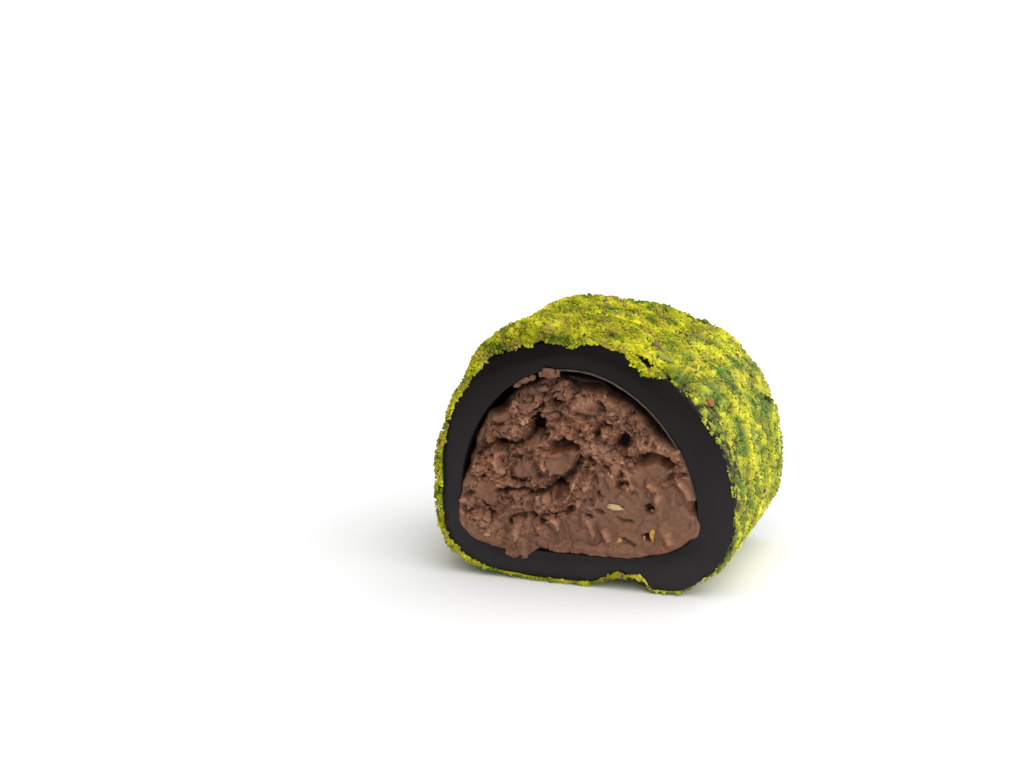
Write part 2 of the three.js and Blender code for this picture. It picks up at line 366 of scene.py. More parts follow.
def jelly_material():
    """Near-black, with painted light: a little lighter towards the foot and darker at the top, as if lit
    from the floor.
    """
    material, tree, shader = new_material("dark_jelly", **JELLY_GLOSS)
    place = add_node(tree, "ShaderNodeTexCoord").outputs["Object"]
    height = add_node(tree, "ShaderNodeSeparateXYZ", Vector=place).outputs["Z"]
    share = add_node(tree, "ShaderNodeMapRange", **{"Value": height, "From Max": JELLY_TOP * MM})
    # Painted light: colour by height, lighter at the foot and darker at the top
    depth = ramp(tree, share.outputs["Result"], JELLY_COLOURS_WITH_PAINTED_LIGHT)
    cloudy = noise_texture(tree, JELLY_CLOUD.wave)
    multiply(tree, shader, depth, ramp(tree, cloudy, JELLY_CLOUD.levels))
    roughness_from(tree, shader, cloudy, *JELLY_CLOUD.roughness)
    fine = noise_texture(tree, JELLY_FINE.wave, JELLY_FINE.detail)
    bump(tree, shader, fine, JELLY_FINE.depth, JELLY_FINE.amount)
    return material


def jelly_face(angle, y, outwards):
    """Loops of one cut face of the jelly, from its outer edge to the edge of the cavity."""
    skin = jelly_skin(angle, y)
    x, z = outline(JELLY, angle)
    plain = on_roll(x, y, z)  # the outline without the seam and the foot
    wall = cavity_wall(angle, y)
    width = np.linalg.norm(wall - plain, axis=1, keepdims=True)
    inwards = (wall - plain) / width

    def at(inset, raised):
        """The face's point at a distance from its outer edge, raised over the cut plane."""
        flat = plain + inwards * inset + (skin - plain) * fading(inset / width, 0.0, SEAM_FADE)
        return flat + [0, outwards * raised, 0]

    turns = np.linspace(0, QUARTER_TURN, JELLY_STEPS.edge)
    arc = [(math.cos(turn) - 1, math.sin(turn) - 1) for turn in turns]
    rows = [at(-JELLY_EDGE * inset, JELLY_EDGE * raised) for inset, raised in arc]
    for share in np.linspace(0, 1, JELLY_STEPS.face)[1:-1]:
        inset = JELLY_EDGE + (width - JELLY_EDGE - CAVITY_EDGE) * share
        rows.append(at(inset, JELLY_BULGE * math.sin(math.pi * share)))
    return rows + [at(width + CAVITY_EDGE * inset, CAVITY_EDGE * raised) for inset, raised in arc[::-1]]


def jelly_ring(material):
    segments = JELLY_STEPS.round_roll
    angle = np.linspace(0, FULL_TURN, segments, endpoint=False)
    stations = np.linspace(JELLY_EDGE, LENGTH - JELLY_EDGE, JELLY_STEPS.along)[1:-1]
    front = jelly_face(angle, 0.0, -1)
    back = jelly_face(angle, LENGTH, 1)
    inside = [cavity_wall(angle, y) for y in stations]
    outside = [jelly_skin(angle, y) for y in stations[::-1]]
    loops = np.array(front + inside + back[::-1] + outside)
    points = loops.reshape(-1, 3)
    from_middle = np.abs(points[:, 1] - LENGTH / 2)
    at_ends = smoothstep(from_middle, LENGTH / 2 - 2 * JELLY_EDGE, LENGTH / 2)
    points[:, 1] += waves_at(points, JELLY_WAVES) * at_ends
    piece = new_piece("jelly_ring", points, loop_faces(len(loops), segments, True), material)
    finish_piece(piece, "lokum_shell")


# Grains and crumbs

CHIP_WAVES = [(0.42, 50, 1.0), (0.2, 90, 0.4)]
CHIP_FLAT = (0.24, 0.42)  # distance of a flat side from the middle, where the ball's radius is a half


def chip_shapes(rng, detail, variants, flats=4, uneven=0.42):
    """Uneven grains: lumpy balls of triangles with a few flat sides."""
    ball = bmesh.new()
    bmesh.ops.create_icosphere(ball, subdivisions=detail, radius=0.5)
    faces = np.array([[corner.index for corner in face.verts] for face in ball.faces])
    base = np.array([tuple(corner.co) for corner in ball.verts])
    ball.free()
    shapes = []
    for variant in range(variants):
        lumps = waves_at(base, [(size, seed + variant, share) for size, seed, share in CHIP_WAVES])
        points = base * (1 + uneven * lumps)[:, None]
        for _ in range(flats):
            normal = rng.normal(size=3)
            normal /= np.linalg.norm(normal)
            over = np.maximum(0, points @ normal - rng.uniform(*CHIP_FLAT))
            points = points - over[:, None] * normal
        shapes.append(points)
    return np.array(shapes), faces


def turned(rng, count, tilt):
    """Random spins about the outward direction, with some tilt."""
    spins = rng.uniform(0, FULL_TURN, count)
    leans = rng.normal(0, tilt, count)
    ways = rng.uniform(0, FULL_TURN, count)
    turns = []
    for spin, lean, way in zip(spins, leans, ways):
        axis = Vector((math.cos(way), math.sin(way), 0))
        turns.append(Matrix.Rotation(lean, 3, axis) @ Matrix.Rotation(spin, 3, "Z"))
    return np.array(turns)


def turned_shapes(rng, shapes, scale, tilt):
    """One of the shapes for each crumb, scaled and turned."""
    local = shapes[rng.integers(0, len(shapes), len(scale))] * scale[:, None, :]
    return np.einsum("nij,nvj->nvi", turned(rng, len(scale), tilt), local)


def join_crumbs(name, groups, material, node, sharp_angle=None):
    """One piece from groups of crumbs: their points, the faces that each has, and their colours."""
    all_points, all_faces, all_tints, total = [], [], [], 0
    for points, faces, tint in groups:
        count, corners = points.shape[:2]
        all_points.append(points.reshape(-1, 3))
        all_tints.append(np.repeat(tint, corners, axis=0))
        starts = total + corners * np.arange(count)
        all_faces.append((starts[:, None, None] + faces[None]).reshape(-1, 3))
        total += count * corners
    meshed = [np.concatenate(parts) for parts in (all_points, all_faces, all_tints)]
    finish_piece(new_piece(name, *meshed[:2], material, meshed[2]), node, sharp_angle)


# The cream

CREAM_COLOUR = np.array([0.212, 0.094, 0.0515])
# The cream lies back from the cut at its top and stands proud at its foot
CREAM_LEAN = Values(bottom=-0.35, top=0.3)
STEEPEST = 2.4  # rise over run of the torn cream
SPIKE_ROUNDS = 10
WALL_DEPTHS = [2.6, 5.0, LENGTH / 2]  # of the loops behind the cut face
WALL_GAP = 0.2  # to the cavity's wall
# Painted shade: the cream's walls behind the cut face are tinted nearly black where they show in the gap
INSIDE_SHADE = 0.04  # behind the cut face
WARM_WAVES = [(2.2, 44, 0.1), (0.8, 45, 0.06)]
# Round the face in degrees: where the cream's edge leaves the jelly or smears over it, and how
# far it stands out
RIM = table(
    "angle half reach height",
    (62, 40, -1.7, -2.0), (90, 20, -0.5, -0.6), (146, 36, -0.5, -0.8), (205, 26, 0.35, 0.2),
    (233, 11, 0.9, 0.5), (250, 7, -0.4, -0.2), (312, 24, -0.15, 0.1), (354, 6, 0.45, 0.3),
    (3, 4, -0.5, -0.7), (114, 20, -0.8, -1.1))
RIM_CORE = 0.45
RIM_WAVES = Values(radius=16, reach=[(2.4, 15, 0.3), (0.9, 16, 0.15)], height=[(2.0, 17, 0.3)])
RIM_MEAN = Values(reach=0.15, height=-0.05)
# How the face falls to its rim: distances from the rim, the drop there, and the painted shade that darkens
# the cream in a gap
EDGE = Values(wave=(1.5, 19, 0.5), ragged=(0.1, 1.3), fade=(0.0, 0.4), drop=0.35, drop_over=(0.0, 0.35),
              gap=(0.5, 1.4), gap_shade=0.15)

# Holes in the face, painted darker inside as shade
HOLES = table(
    "x z radius depth",
    (-5.1, 20.9, 1.3, 3.0), (-2.2, 12.8, 1.0, 3.0), (6.9, 20.0, 1.2, 2.6), (10.4, 11.3, 0.45, 1.1),
    (-2.9, 24.2, 0.7, 1.6), (-8.2, 7.5, 0.5, 1.2), (-12.1, 13.5, 0.55, 1.2), (7.6, 24.0, 0.45, 1.0),
    (10.4, 7.5, 0.5, 1.0))
HOLE_WALL = (0.55, 1.05)  # shares of the radius over which a hole's wall rises
# Tears along a line of x, z points: the upper lip drops steeply and the lower one slopes; dark is how far
# painted shade darkens each
TEARS = table(
    "half depth dark line",
    (0.45, 1.7, 0.9, [(-10.4, 17.7), (-8.2, 18.2), (-6.3, 18.8), (-5.1, 20.7)]),
    (0.4, 1.1, 0.9, [(-5.1, 20.7), (-5.6, 22.3), (-4.6, 23.6)]),
    (0.45, 2.4, 0.9, [(-3.0, 18.5), (-1.4, 18.9), (0.2, 18.8)]),
    (0.27, 1.1, 0.9, [(-10.4, 11.5), (-7.0, 12.3), (-5.4, 11.5), (-4.0, 11.9), (-2.4, 12.8)]),
    (0.4, 1.5, 0.9, [(-2.4, 12.9), (-0.6, 14.7), (1.0, 17.1)]),
    (0.3, 1.0, 0.9, [(2.1, 17.6), (2.7, 16.9)]),
    (0.28, 0.9, 0.9, [(4.4, 16.3), (5.1, 15.9)]),
    (0.3, 0.8, 0.5, [(4.6, 18.6), (6.9, 20.0)]),
    (0.42, 2.2, 0.9, [(9.0, 18.0), (10.6, 18.5), (12.9, 18.1)]),
    (0.2, 0.7, 0.7, [(2.4, 25.1), (4.0, 24.6)]),
    (0.2, 0.7, 0.7, [(0.3, 23.4), (1.6, 22.8), (2.6, 23.0)]),
    (0.2, 0.7, 0.6, [(3.6, 22.3), (5.0, 21.7)]),
    (0.22, 0.7, 0.5, [(-8.4, 8.2), (-5.7, 8.8), (-3.1, 9.0), (-0.6, 10.4)]),
    (0.3, 1.0, 0.9, [(-5.3, 8.7), (-4.7, 9.0)]),
    (0.3, 0.9, 0.9, [(-4.3, 8.7), (-3.9, 8.1)]),
    (0.26, 0.9, 0.9, [(-2.9, 9.6), (-2.3, 9.3)]),
    (0.3, 1.0, 0.9, [(-0.8, 10.4), (0.1, 10.9)]),
    (0.26, 0.9, 0.9, [(1.9, 9.7), (2.4, 9.2)]),
    (0.24, 0.8, 0.9, [(3.5, 10.5), (4.3, 10.2)]),
    (0.22, 0.5, 0.5, [(6.2, 9.7), (7.0, 9.2), (7.7, 9.3)]),
    (0.24, 0.4, 0.6, [(7.0, 6.5), (7.9, 6.1)]),
    (0.28, 0.7, 0.9, [(-12.3, 9.6), (-11.6, 8.6), (-11.2, 7.6)]))
# All tears: the side that slopes and how far it widens, and where the wall and the painted shade fade out
TEAR = Values(slope=(0.0, -1.0), widen=0.7, widen_over=(-0.2, 0.3), wall=(0.45, 1.0), shade=(0.2, 1.0))
# How much darker the holes and tears are painted, as shade
HOLLOW_SHADE = 0.94
# Flaps that the knife has dragged up, along a line of x, z points: gentle on their left and steep
# on their right
RIDGES = [
    [(-4.5, 8.6), (-4.1, 7.2)], [(-2.5, 9.1), (-1.6, 7.2)], [(2.2, 9.1), (3.1, 7.0)],
    [(7.4, 16.1), (8.2, 14.3)], [(5.2, 15.7), (5.6, 14.0)], [(-4.3, 16.2), (-3.9, 15.0)],
    [(2.7, 14.8), (1.8, 12.8)], [(10.7, 14.8), (11.9, 14.0), (11.8, 12.4)],
    [(14.3, 15.6), (16.1, 13.2)], [(13.0, 8.4), (13.7, 6.8)], [(-7.4, 7.0), (-7.7, 4.8)],
    [(0.4, 13.9), (-0.4, 11.9)], [(4.6, 8.2), (5.2, 6.4)],
]
# All flaps: their gentle side and how far it widens, and the painted highlight along their edge
RIDGE = Values(height=1.15, half=0.28, slope=(-1.0, 0.0), widen=4.0, widen_over=(-0.1, 0.2),
               light=0.8, edge=0.26)
SCOOPS = table(
    "x z radius depth",
    (-1.6, 16.1, 2.5, 0.9), (10.3, 15.5, 2.9, 0.7), (-11.9, 11.0, 1.9, 0.1), (5.0, 13.6, 1.5, 0.3),
    (-10.0, 22.0, 1.5, 0.1), (-6.9, 14.9, 1.6, 0.2))
SCOOP_CALM = (0.6, 1.05)  # shares of the radius over which a smooth scoop turns rough

# Where the cream is smeared: below a slanting height at the right, and along the foot at the left
SMEAR = Values(wave=(4.0, 3, 2.6), slant=0.3, heights=(9.5, 13.0), ragged=1.5, right=(-8.0, 1.0),
               foot_share=0.75, foot_ragged=1.3, foot=(6.0, 9.0))
# Noise that bends the relief and frays it, and how far each kind of relief follows the two
BEND = Values(size=3.6, seeds=(4, 5))
FRAY = Values(size=1.1, seeds=(6, 7))
FOLLOW = dict(hollows=(0.4, 0.45), flakes=(1.7, 0.55), grain=(0.0, 0.25), fine=(0.0, 0.12), lumps=(0.0, 0.3))
FACE_SHIFT = 3.7  # takes the back face to noise of its own
# Cells of torn cream: the step from one to the next, the dip to a cell's rim, its tilts across and
# upwards, which of its random numbers sets the upward tilt, and the share of cells that tilt down
PLATE, CHIP, GRAIN, FINE = table(
    "narrow size seed step dip across upwards draw down",
    (0.68, 3.0, 8, 1.3, 0.0, 0.6, 0.6, 2, 0.1), (0.8, 1.35, 9, 0.5, 0.0, 0.0, 0.65, 1, 0.2),
    (1.0, 0.62, 10, 0.3, 0.08, 1.0, 1.0, 2, 0.3), (1.0, 0.36, 18, 0.16, 0.12, 0.0, 0.0, 2, 0.0))
TORN_LUMPS = (1.25, 11, 0.28)
# Pits in the torn cream: their noise, where they open, their depth, and how much darker they are painted as
# shade
PITS = Values(wave=(0.8, 13), over=(0.4, 0.62), depth=0.5, shade=0.4)
BROAD_WAVE = (6.0, 11, 0.5)
# Steps that the knife leaves in smeared cream
SCRAPE = Values(every=3.3, wave=(3.0, 12, 1.1), tall=0.7, slant=0.12, power=1.6, mean=0.4, height=0.4,
                patch=(4.0, 14), patch_over=(-0.15, 0.25))
# Shares of the relief and of its painted light and shade that are kept where the cream is smeared
KEPT = Values(plate=0.2, grain=0.1, lumps=0.15, shade=0.25)
SIDEWAYS = Values(share=0.6, most=1.2)  # how far what stands out leans
# Painted light and shade of the cream: what stands proud is painted lighter and less saturated, as if lit
# and glossy, and what lies deep is painted darker, as if in shade
SHADE = Values(flakes=1.2, plates=0.3, least=-0.6, most=0.8, smeared=0.93, torn=0.17, proud=0.9,
               deep=0.36, deep_over=(0.5, 1.8), palest=0.6, pale=np.array([0.0, 0.25, 0.4]))
# Crumbs on the torn cream: their sizes and shapes, the clumps that they lie in and how light the
# cream's colour with its painted light and shade is there, and the angle in degrees over which an edge is
# sharp
CRUMBLE = Values(smallest=0.35, largest=1.3, power=2.5, stretch=(0.6, 1.5), flat=0.65, tilt=1.5, detail=2,
                 variants=24, flats=9, uneven=0.55, clump=(2.2, 46), clump_over=(-0.2, 0.3),
                 lit=(0.45, 0.9), tint=(0.85, 1.25), sharp=22)


def mirrored(feature):
    """The same feature on the other cut face, as if the piece were turned round."""
    if isinstance(feature, list):
        return [(2 * MIRROR_X - x, z) for x, z in feature]
    if hasattr(feature, "line"):
        return Values(**{**vars(feature), "line": mirrored(feature.line)})
    return Values(**{**vars(feature), "x": 2 * MIRROR_X - feature.x})


MIRROR_X = CAVITY.x + (CAVITY.right - CAVITY.left) / 2
FRONT = dict(holes=HOLES, tears=TEARS, scoops=SCOOPS, ridges=RIDGES)
BACK = {kind: [mirrored(feature) for feature in features] for kind, features in FRONT.items()}


def rim_shape(angle, seed, is_front):
    """How far the cream's edge goes past the cavity's, and its height over the cut plane."""
    circle = np.stack([np.cos(angle), np.full_like(angle, seed), np.sin(angle)], axis=1)
    circle = RIM_WAVES.radius * circle
    reach = RIM_MEAN.reach + waves_at(circle, RIM_WAVES.reach)
    height = RIM_MEAN.height + waves_at(circle, RIM_WAVES.height)
    if is_front:
        for part in RIM:
            share = bulge(angle, part, RIM_CORE)
            reach = reach + share * part.reach
            height = height + share * part.height
    return reach, height


def line_distance(x, z, line, slope):
    """Distance from each place to a line of straight stretches, and how far to the slope's side it lies."""
    nearest = np.full_like(x, np.inf)
    beside = np.zeros_like(x)
    for (from_x, from_z), (to_x, to_z) in zip(line, line[1:]):
        run_x, run_z = to_x - from_x, to_z - from_z
        share = ((x - from_x) * run_x + (z - from_z) * run_z) / (run_x ** 2 + run_z ** 2)
        share = np.clip(share, 0.0, 1.0)
        off_x, off_z = x - from_x - share * run_x, z - from_z - share * run_z
        away = np.hypot(off_x, off_z)
        beside = np.where(away < nearest, off_x * slope[0] + off_z * slope[1], beside)
        nearest = np.minimum(nearest, away)
    return nearest, beside


def smeared(x, z):
    """1 where the knife has smeared the cream smooth, 0 where it is torn."""
    ragged = noise_at(np.stack([x, 0 * x, z], axis=1), *SMEAR.wave)
    at_right = fading(z + ragged - SMEAR.slant * x, *SMEAR.heights)
    at_right = at_right * smoothstep(x + SMEAR.ragged * ragged, *SMEAR.right)
    at_foot = SMEAR.foot_share * fading(z + SMEAR.foot_ragged * ragged, *SMEAR.foot)
    return np.maximum(at_right, at_foot)


def hollows(ragged, features):
    """Height and painted light and shade of the holes, tears and ridges, and the depth and smoothness of the
    scoops.
    """
    x, z = ragged[:, 0], ragged[:, 2]
    depth, dark, scoop, calm, rise, light = (np.zeros_like(x) for _ in range(6))
    for hole in features["holes"]:
        inside = fading(np.hypot(x - hole.x, z - hole.z) / hole.radius, *HOLE_WALL)
        depth = np.maximum(depth, hole.depth * inside)
        # Painted shade: holes and tears are darkened inside
        dark = np.maximum(dark, inside)
    for tear in features["tears"]:
        away, beside = line_distance(x, z, tear.line, TEAR.slope)
        half = tear.half * (1 + TEAR.widen * smoothstep(beside, *TEAR.widen_over))
        depth = np.maximum(depth, tear.depth * fading(away / half, *TEAR.wall))
        dark = np.maximum(dark, tear.dark * fading(away / tear.half, *TEAR.shade))
    for hollow in features["scoops"]:
        away = np.hypot(x - hollow.x, z - hollow.z) / hollow.radius
        scoop += hollow.depth * fading(away, 0.0, 1.0)
        calm = np.maximum(calm, fading(away, *SCOOP_CALM))
    for line in features["ridges"]:
        away, beside = line_distance(x, z, line, RIDGE.slope)
        half = RIDGE.half * (1 + RIDGE.widen * smoothstep(beside, *RIDGE.widen_over))
        rise = np.maximum(rise, RIDGE.height * fading(away / half, 0.0, 1.0))
        # Painted highlight along the edge of each flap
        light = np.maximum(light, RIDGE.light * fading(away, 0.0, RIDGE.edge))
    return rise - depth, light - HOLLOW_SHADE * dark, scoop, calm


def flat_noise(points, kind):
    """Noise that shifts places within the cut plane."""
    across, upwards = (noise_at(points, kind.size, seed) for seed in kind.seeds)
    return np.stack([across, 0 * across, upwards], axis=1)


def torn_cells(points, kind):
    """Height of the cells of a kind, and the random numbers of each place's cell."""
    first, offset, chance = cells_at(points * [kind.narrow, 1, 1], kind.size, kind.seed)
    height = (chance[:, 0] - 0.5) * kind.step - kind.dip * first
    height += kind.across * offset[:, 0] * (chance[:, 1] - 0.5)
    height += kind.upwards * offset[:, 2] * (chance[:, kind.draw] - kind.down)
    return height, chance


def scrapes(flat):
    """Steps left by the knife, in patches."""
    slide = flat[:, 0] / SCRAPE.every + noise_at(flat * [1, 1, SCRAPE.tall], *SCRAPE.wave)
    slide += SCRAPE.slant * flat[:, 2]
    steps = (slide - np.floor(slide)) ** SCRAPE.power - SCRAPE.mean
    return SCRAPE.height * steps * smoothstep(noise_at(flat, *SCRAPE.patch), *SCRAPE.patch_over)


def torn_relief(x, z, seed, features):
    """Height of the torn face over the cut plane, how far it leans sideways, its colour as a share of the
    cream's with painted light and shade, and how torn it is."""
    flat = np.stack([x, np.full_like(x, FACE_SHIFT * seed), z], axis=1)
    bend = flat_noise(flat, BEND)
    fray = flat_noise(flat, FRAY)
    ragged = {kind: flat + bent * bend + frayed * fray for kind, (bent, frayed) in FOLLOW.items()}
    rise, light, scoop, calm = hollows(ragged["hollows"], features)
    calm = np.maximum(calm, smeared(x, z))
    rough = 1 - calm

    plate, chance = torn_cells(ragged["flakes"], PLATE)
    chip = torn_cells(ragged["flakes"], CHIP)[0]
    grain = torn_cells(ragged["grain"], GRAIN)[0] + torn_cells(ragged["fine"], FINE)[0]
    lumps = fractal_at(ragged["lumps"], *TORN_LUMPS)
    pits = rough * smoothstep(noise_at(flat, *PITS.wave), *PITS.over)

    up = smoothstep(z, CAVITY.z - CAVITY.below, CAVITY.z + CAVITY.above)
    height = noise_at(flat, *BROAD_WAVE) - between(CREAM_LEAN.bottom, CREAM_LEAN.top, up)
    height += between(KEPT.plate, 1.0, rough) * plate + between(KEPT.grain, 1.0, rough) * (chip + grain)
    height += between(KEPT.lumps, 1.0, rough) * lumps + calm * scrapes(flat) - PITS.depth * pits
    height += rise - scoop
    leaning = np.clip(height, -SIDEWAYS.most, SIDEWAYS.most) * rough
    side = SIDEWAYS.share * (chance[:, 1:3] - 0.5) * leaning[:, None]

    # Painted light and shade: what stands proud is painted lighter and less saturated, and what lies deep
    # darker
    proud = SHADE.flakes * (chip + lumps) + grain + SHADE.plates * plate
    proud = np.clip(proud, SHADE.least, SHADE.most) * between(KEPT.shade, 1.0, rough)
    # Painted shade in the pits, and painted highlight on the flaps
    shade = 1 + np.minimum(light, np.maximum(light, 0) - PITS.shade * pits)
    shade *= SHADE.smeared + SHADE.torn * rough + SHADE.proud * proud
    shade *= 1 - SHADE.deep * smoothstep(-height, *SHADE.deep_over)
    pale = np.clip(proud + light, 0.0, SHADE.palest)
    return height, side, shade[:, None] * (1 + pale[:, None] * SHADE.pale), rough


def round_grid(steps):
    """Radius and angle of the points of a square grid that is bent into a disc."""
    line = np.linspace(-1, 1, steps + 1)
    row, column = np.meshgrid(line, line, indexing="ij")
    x = row * np.sqrt(1 - column * column / 2)
    z = column * np.sqrt(1 - row * row / 2)
    radius = np.clip(np.hypot(x, z), 0.0, 1.0)
    return radius.ravel(), np.mod(np.arctan2(z, x), FULL_TURN).ravel()


def grid_faces(steps):
    row, column = np.meshgrid(np.arange(steps), np.arange(steps), indexing="ij")
    corner = (row * (steps + 1) + column).ravel()
    return np.stack([corner, corner + steps + 1, corner + steps + 2, corner + 1], axis=1)


def grid_rim(steps):
    """Indices of the grid's border, once round."""
    side = steps + 1
    run = np.arange(steps)
    return np.concatenate([run * side, steps * side + run, (steps - run) * side + steps, steps - run])


def without_spikes(height, steps, spacing):
    """Heights on the grid, cut down where they rise more steeply than torn cream stands."""
    grid = height.reshape(steps + 1, steps + 1).copy()
    step = STEEPEST * spacing
    for lines in (grid, grid.T) * SPIKE_ROUNDS:
        lines[1:] = np.minimum(lines[1:], lines[:-1] + step)
        lines[:-1] = np.minimum(lines[:-1], lines[1:] + step)
    return grid.ravel()


def cream_mesh(face, angle, reach, steps, y, outwards):
    """Points and faces of a half: its cut face, the wall behind it and its end at the roll's middle."""
    rim = grid_rim(steps)
    walls = []
    for depth in WALL_DEPTHS:
        gap = np.minimum(reach[rim], 0.0) * (1 - depth / WALL_DEPTHS[-1]) - WALL_GAP
        walls.append(cavity_wall(angle[rim], y - outwards * depth, gap))
    last = on_roll(CAVITY.x, y - outwards * WALL_DEPTHS[-1], CAVITY.z)
    points = np.concatenate([face, *walls, last[None, :]])
    loops = [rim] + [len(face) + i * len(rim) + np.arange(len(rim)) for i in range(len(walls))]
    faces = grid_faces(steps).tolist()
    for here, there in zip(loops, loops[1:]):
        faces += np.stack([there, np.roll(there, -1), np.roll(here, -1), here], axis=1).tolist()
    end = loops[-1]
    faces += np.stack([np.full_like(end, len(points) - 1), np.roll(end, -1), end], axis=1).tolist()
    if outwards > 0:
        faces = [corners[::-1] for corners in faces]
    return points, faces


def cream_half(name, material, features, steps, crumbs, y, outwards, seed):
    """One half of the cream: a torn cut face and the wall behind it, closed at the middle of the roll."""
    radius, angle = round_grid(steps)
    reach, rim_height = rim_shape(angle, seed, outwards < 0)
    at_rim = cavity_wall(angle, y, reach)
    middle = on_roll(CAVITY.x, y, CAVITY.z)
    face = middle + (at_rim - middle) * radius[:, None]
    edge = (1 - radius) * np.linalg.norm(at_rim - middle, axis=1)
    height, side, tint, rough = torn_relief(face[:, 0], face[:, 2], seed, features)
    inner = smoothstep(edge + noise_at(face, *EDGE.wave), *EDGE.ragged) * smoothstep(edge, *EDGE.fade)
    height = between(rim_height, height, inner) - EDGE.drop * fading(edge, *EDGE.drop_over)
    height = without_spikes(height, steps, (CAVITY.left + CAVITY.right) / steps)
    clear = 1 - smoothstep(-rim_height, *EDGE.gap) * (1 - inner)
    face[:, 1] += outwards * height
    face[:, [0, 2]] += side * inner[:, None]

    points, faces = cream_mesh(face, angle, reach, steps, y, outwards)
    warm = waves_at(points, WARM_WAVES)
    hue = np.stack([1 + warm, np.ones_like(warm), 1 - warm], axis=1)
    # Painted shade: nearly black behind the cut face, and darker where the face's edge sinks into a gap
    tints = np.full((len(points), 3), INSIDE_SHADE)
    tints[:len(face)] = tint * between(EDGE.gap_shade, 1.0, clear)[:, None]
    colours = tints * hue * CREAM_COLOUR
    piece = new_piece(name, points, faces, material, colours)
    finish_piece(piece, "chocolate_filling")
    # Crumbs lie where the cream's colour, with its painted light, is light
    lit = smoothstep(tint.mean(axis=1), *CRUMBLE.lit)
    crumble(name + "_crumbs", crumbs, face, colours[:len(face)], rough * inner * clear * lit, material)


def crumble(name, count, face, colours, chances, material):
    """Crumbs of cream that stick to the torn face, in clumps."""
    rng = np.random.default_rng(SEED)
    shapes, faces = chip_shapes(rng, CRUMBLE.detail, CRUMBLE.variants, CRUMBLE.flats, CRUMBLE.uneven)
    chances = chances ** 2 * smoothstep(noise_at(face, *CRUMBLE.clump), *CRUMBLE.clump_over)
    chosen = rng.choice(len(face), count, replace=False, p=chances / chances.sum())
    across = between(CRUMBLE.smallest, CRUMBLE.largest, rng.random(count) ** CRUMBLE.power)
    scale = across[:, None] * rng.uniform(*CRUMBLE.stretch, (count, 3)) * [1, 1, CRUMBLE.flat]
    local = turned_shapes(rng, shapes, scale, CRUMBLE.tilt)
    # Crumbs take the face's colour, painted light and shade included
    tint = colours[chosen] * rng.uniform(*CRUMBLE.tint, (count, 1))
    groups = [(face[chosen][:, None, :] + local, faces, tint)]
    join_crumbs(name, groups, material, None, CRUMBLE.sharp)


# Small pieces on the cut face

# The film, between two angles in degrees: how far it stands off the wall, its thickness, front and
# depth, the rounding of its edge, the depth of its edge painted light as a highlight, and how far it goes
# into the wall
FILM = Values(start=99, end=8, steps=160, radius=20, inset=0.02, thick=0.2, front=-0.06, depth=3.0,
              rounding=0.06, light_depth=0.3, rooted=0.2, colour=np.array([0.085, 0.062, 0.05]))
FILM_WAVES = Values(inset=[(3.5, 40, 0.12), (0.9, 41, 0.06)], front=(2.2, 42, 0.15), thick=(1.4, 43, 0.5))
# Painted light and shade round the film's section: its front edge is painted light as a highlight and the
# rest dark as shade
FILM_PAINTED_LIGHT_AND_SHADE = np.array([1.0, 1.0, 0.8, 0.08, 0.08, 0.08])  # round its section: only the edge is light
BIT = Values(detail=3, flats=4, uneven=0.5)  # shapes of the lumps and of the bits of nut
# Lumps in the torn face: width, depth and height, turn in degrees, and how far the middle lies back
LUMPS = table(
    "x z size turn back",
    (-3.0, 28.4, (2.4, 1.9, 1.5), 4, 0.2), (-4.1, 28.2, (1.2, 1.1, 1.0), 40, 0.3),
    (-2.0, 28.5, (1.1, 1.1, 1.0), 80, 0.2), (-1.7, 26.7, (1.8, 1.6, 1.4), 30, 0.4),
    (-1.0, 27.2, (1.0, 1.0, 0.9), 10, 0.3), (-6.5, 27.3, (1.7, 1.2, 1.0), -22, 0.3),
    (-5.4, 27.7, (1.1, 1.0, 0.8), -30, 0.4), (-7.5, 26.6, (1.2, 1.0, 0.8), -30, 0.4),
    (-4.0, 26.3, (1.7, 1.4, 1.0), -10, 0.6), (-5.6, 25.9, (1.3, 1.2, 0.9), 20, 0.6),
    (-8.2, 3.1, (2.8, 0.7, 0.8), 6, -0.1), (-6.5, 2.9, (1.5, 0.6, 0.6), -8, -0.1))
LUMP_SHADE = 0.8
# Bits of nut, which sink into the face by a share of their depth
NUTS = table(
    "x z size turn tint",
    (5.8, 11.0, (2.3, 0.9, 0.8), 4, (0.52, 0.4, 0.19)),
    (11.0, 7.7, (0.7, 0.9, 1.9), -6, (0.45, 0.24, 0.03)),
    (9.9, 7.2, (0.3, 0.6, 1.2), 8, (0.36, 0.17, 0.03)),
    (6.5, 6.6, (0.9, 0.6, 0.7), 0, (0.42, 0.24, 0.06)),
    (-11.7, 5.8, (1.0, 0.6, 0.7), 20, (0.46, 0.28, 0.09)),
    (10.7, 10.9, (0.5, 0.5, 0.4), 0, (0.36, 0.17, 0.03)))
NUT_SUNK = 0.3


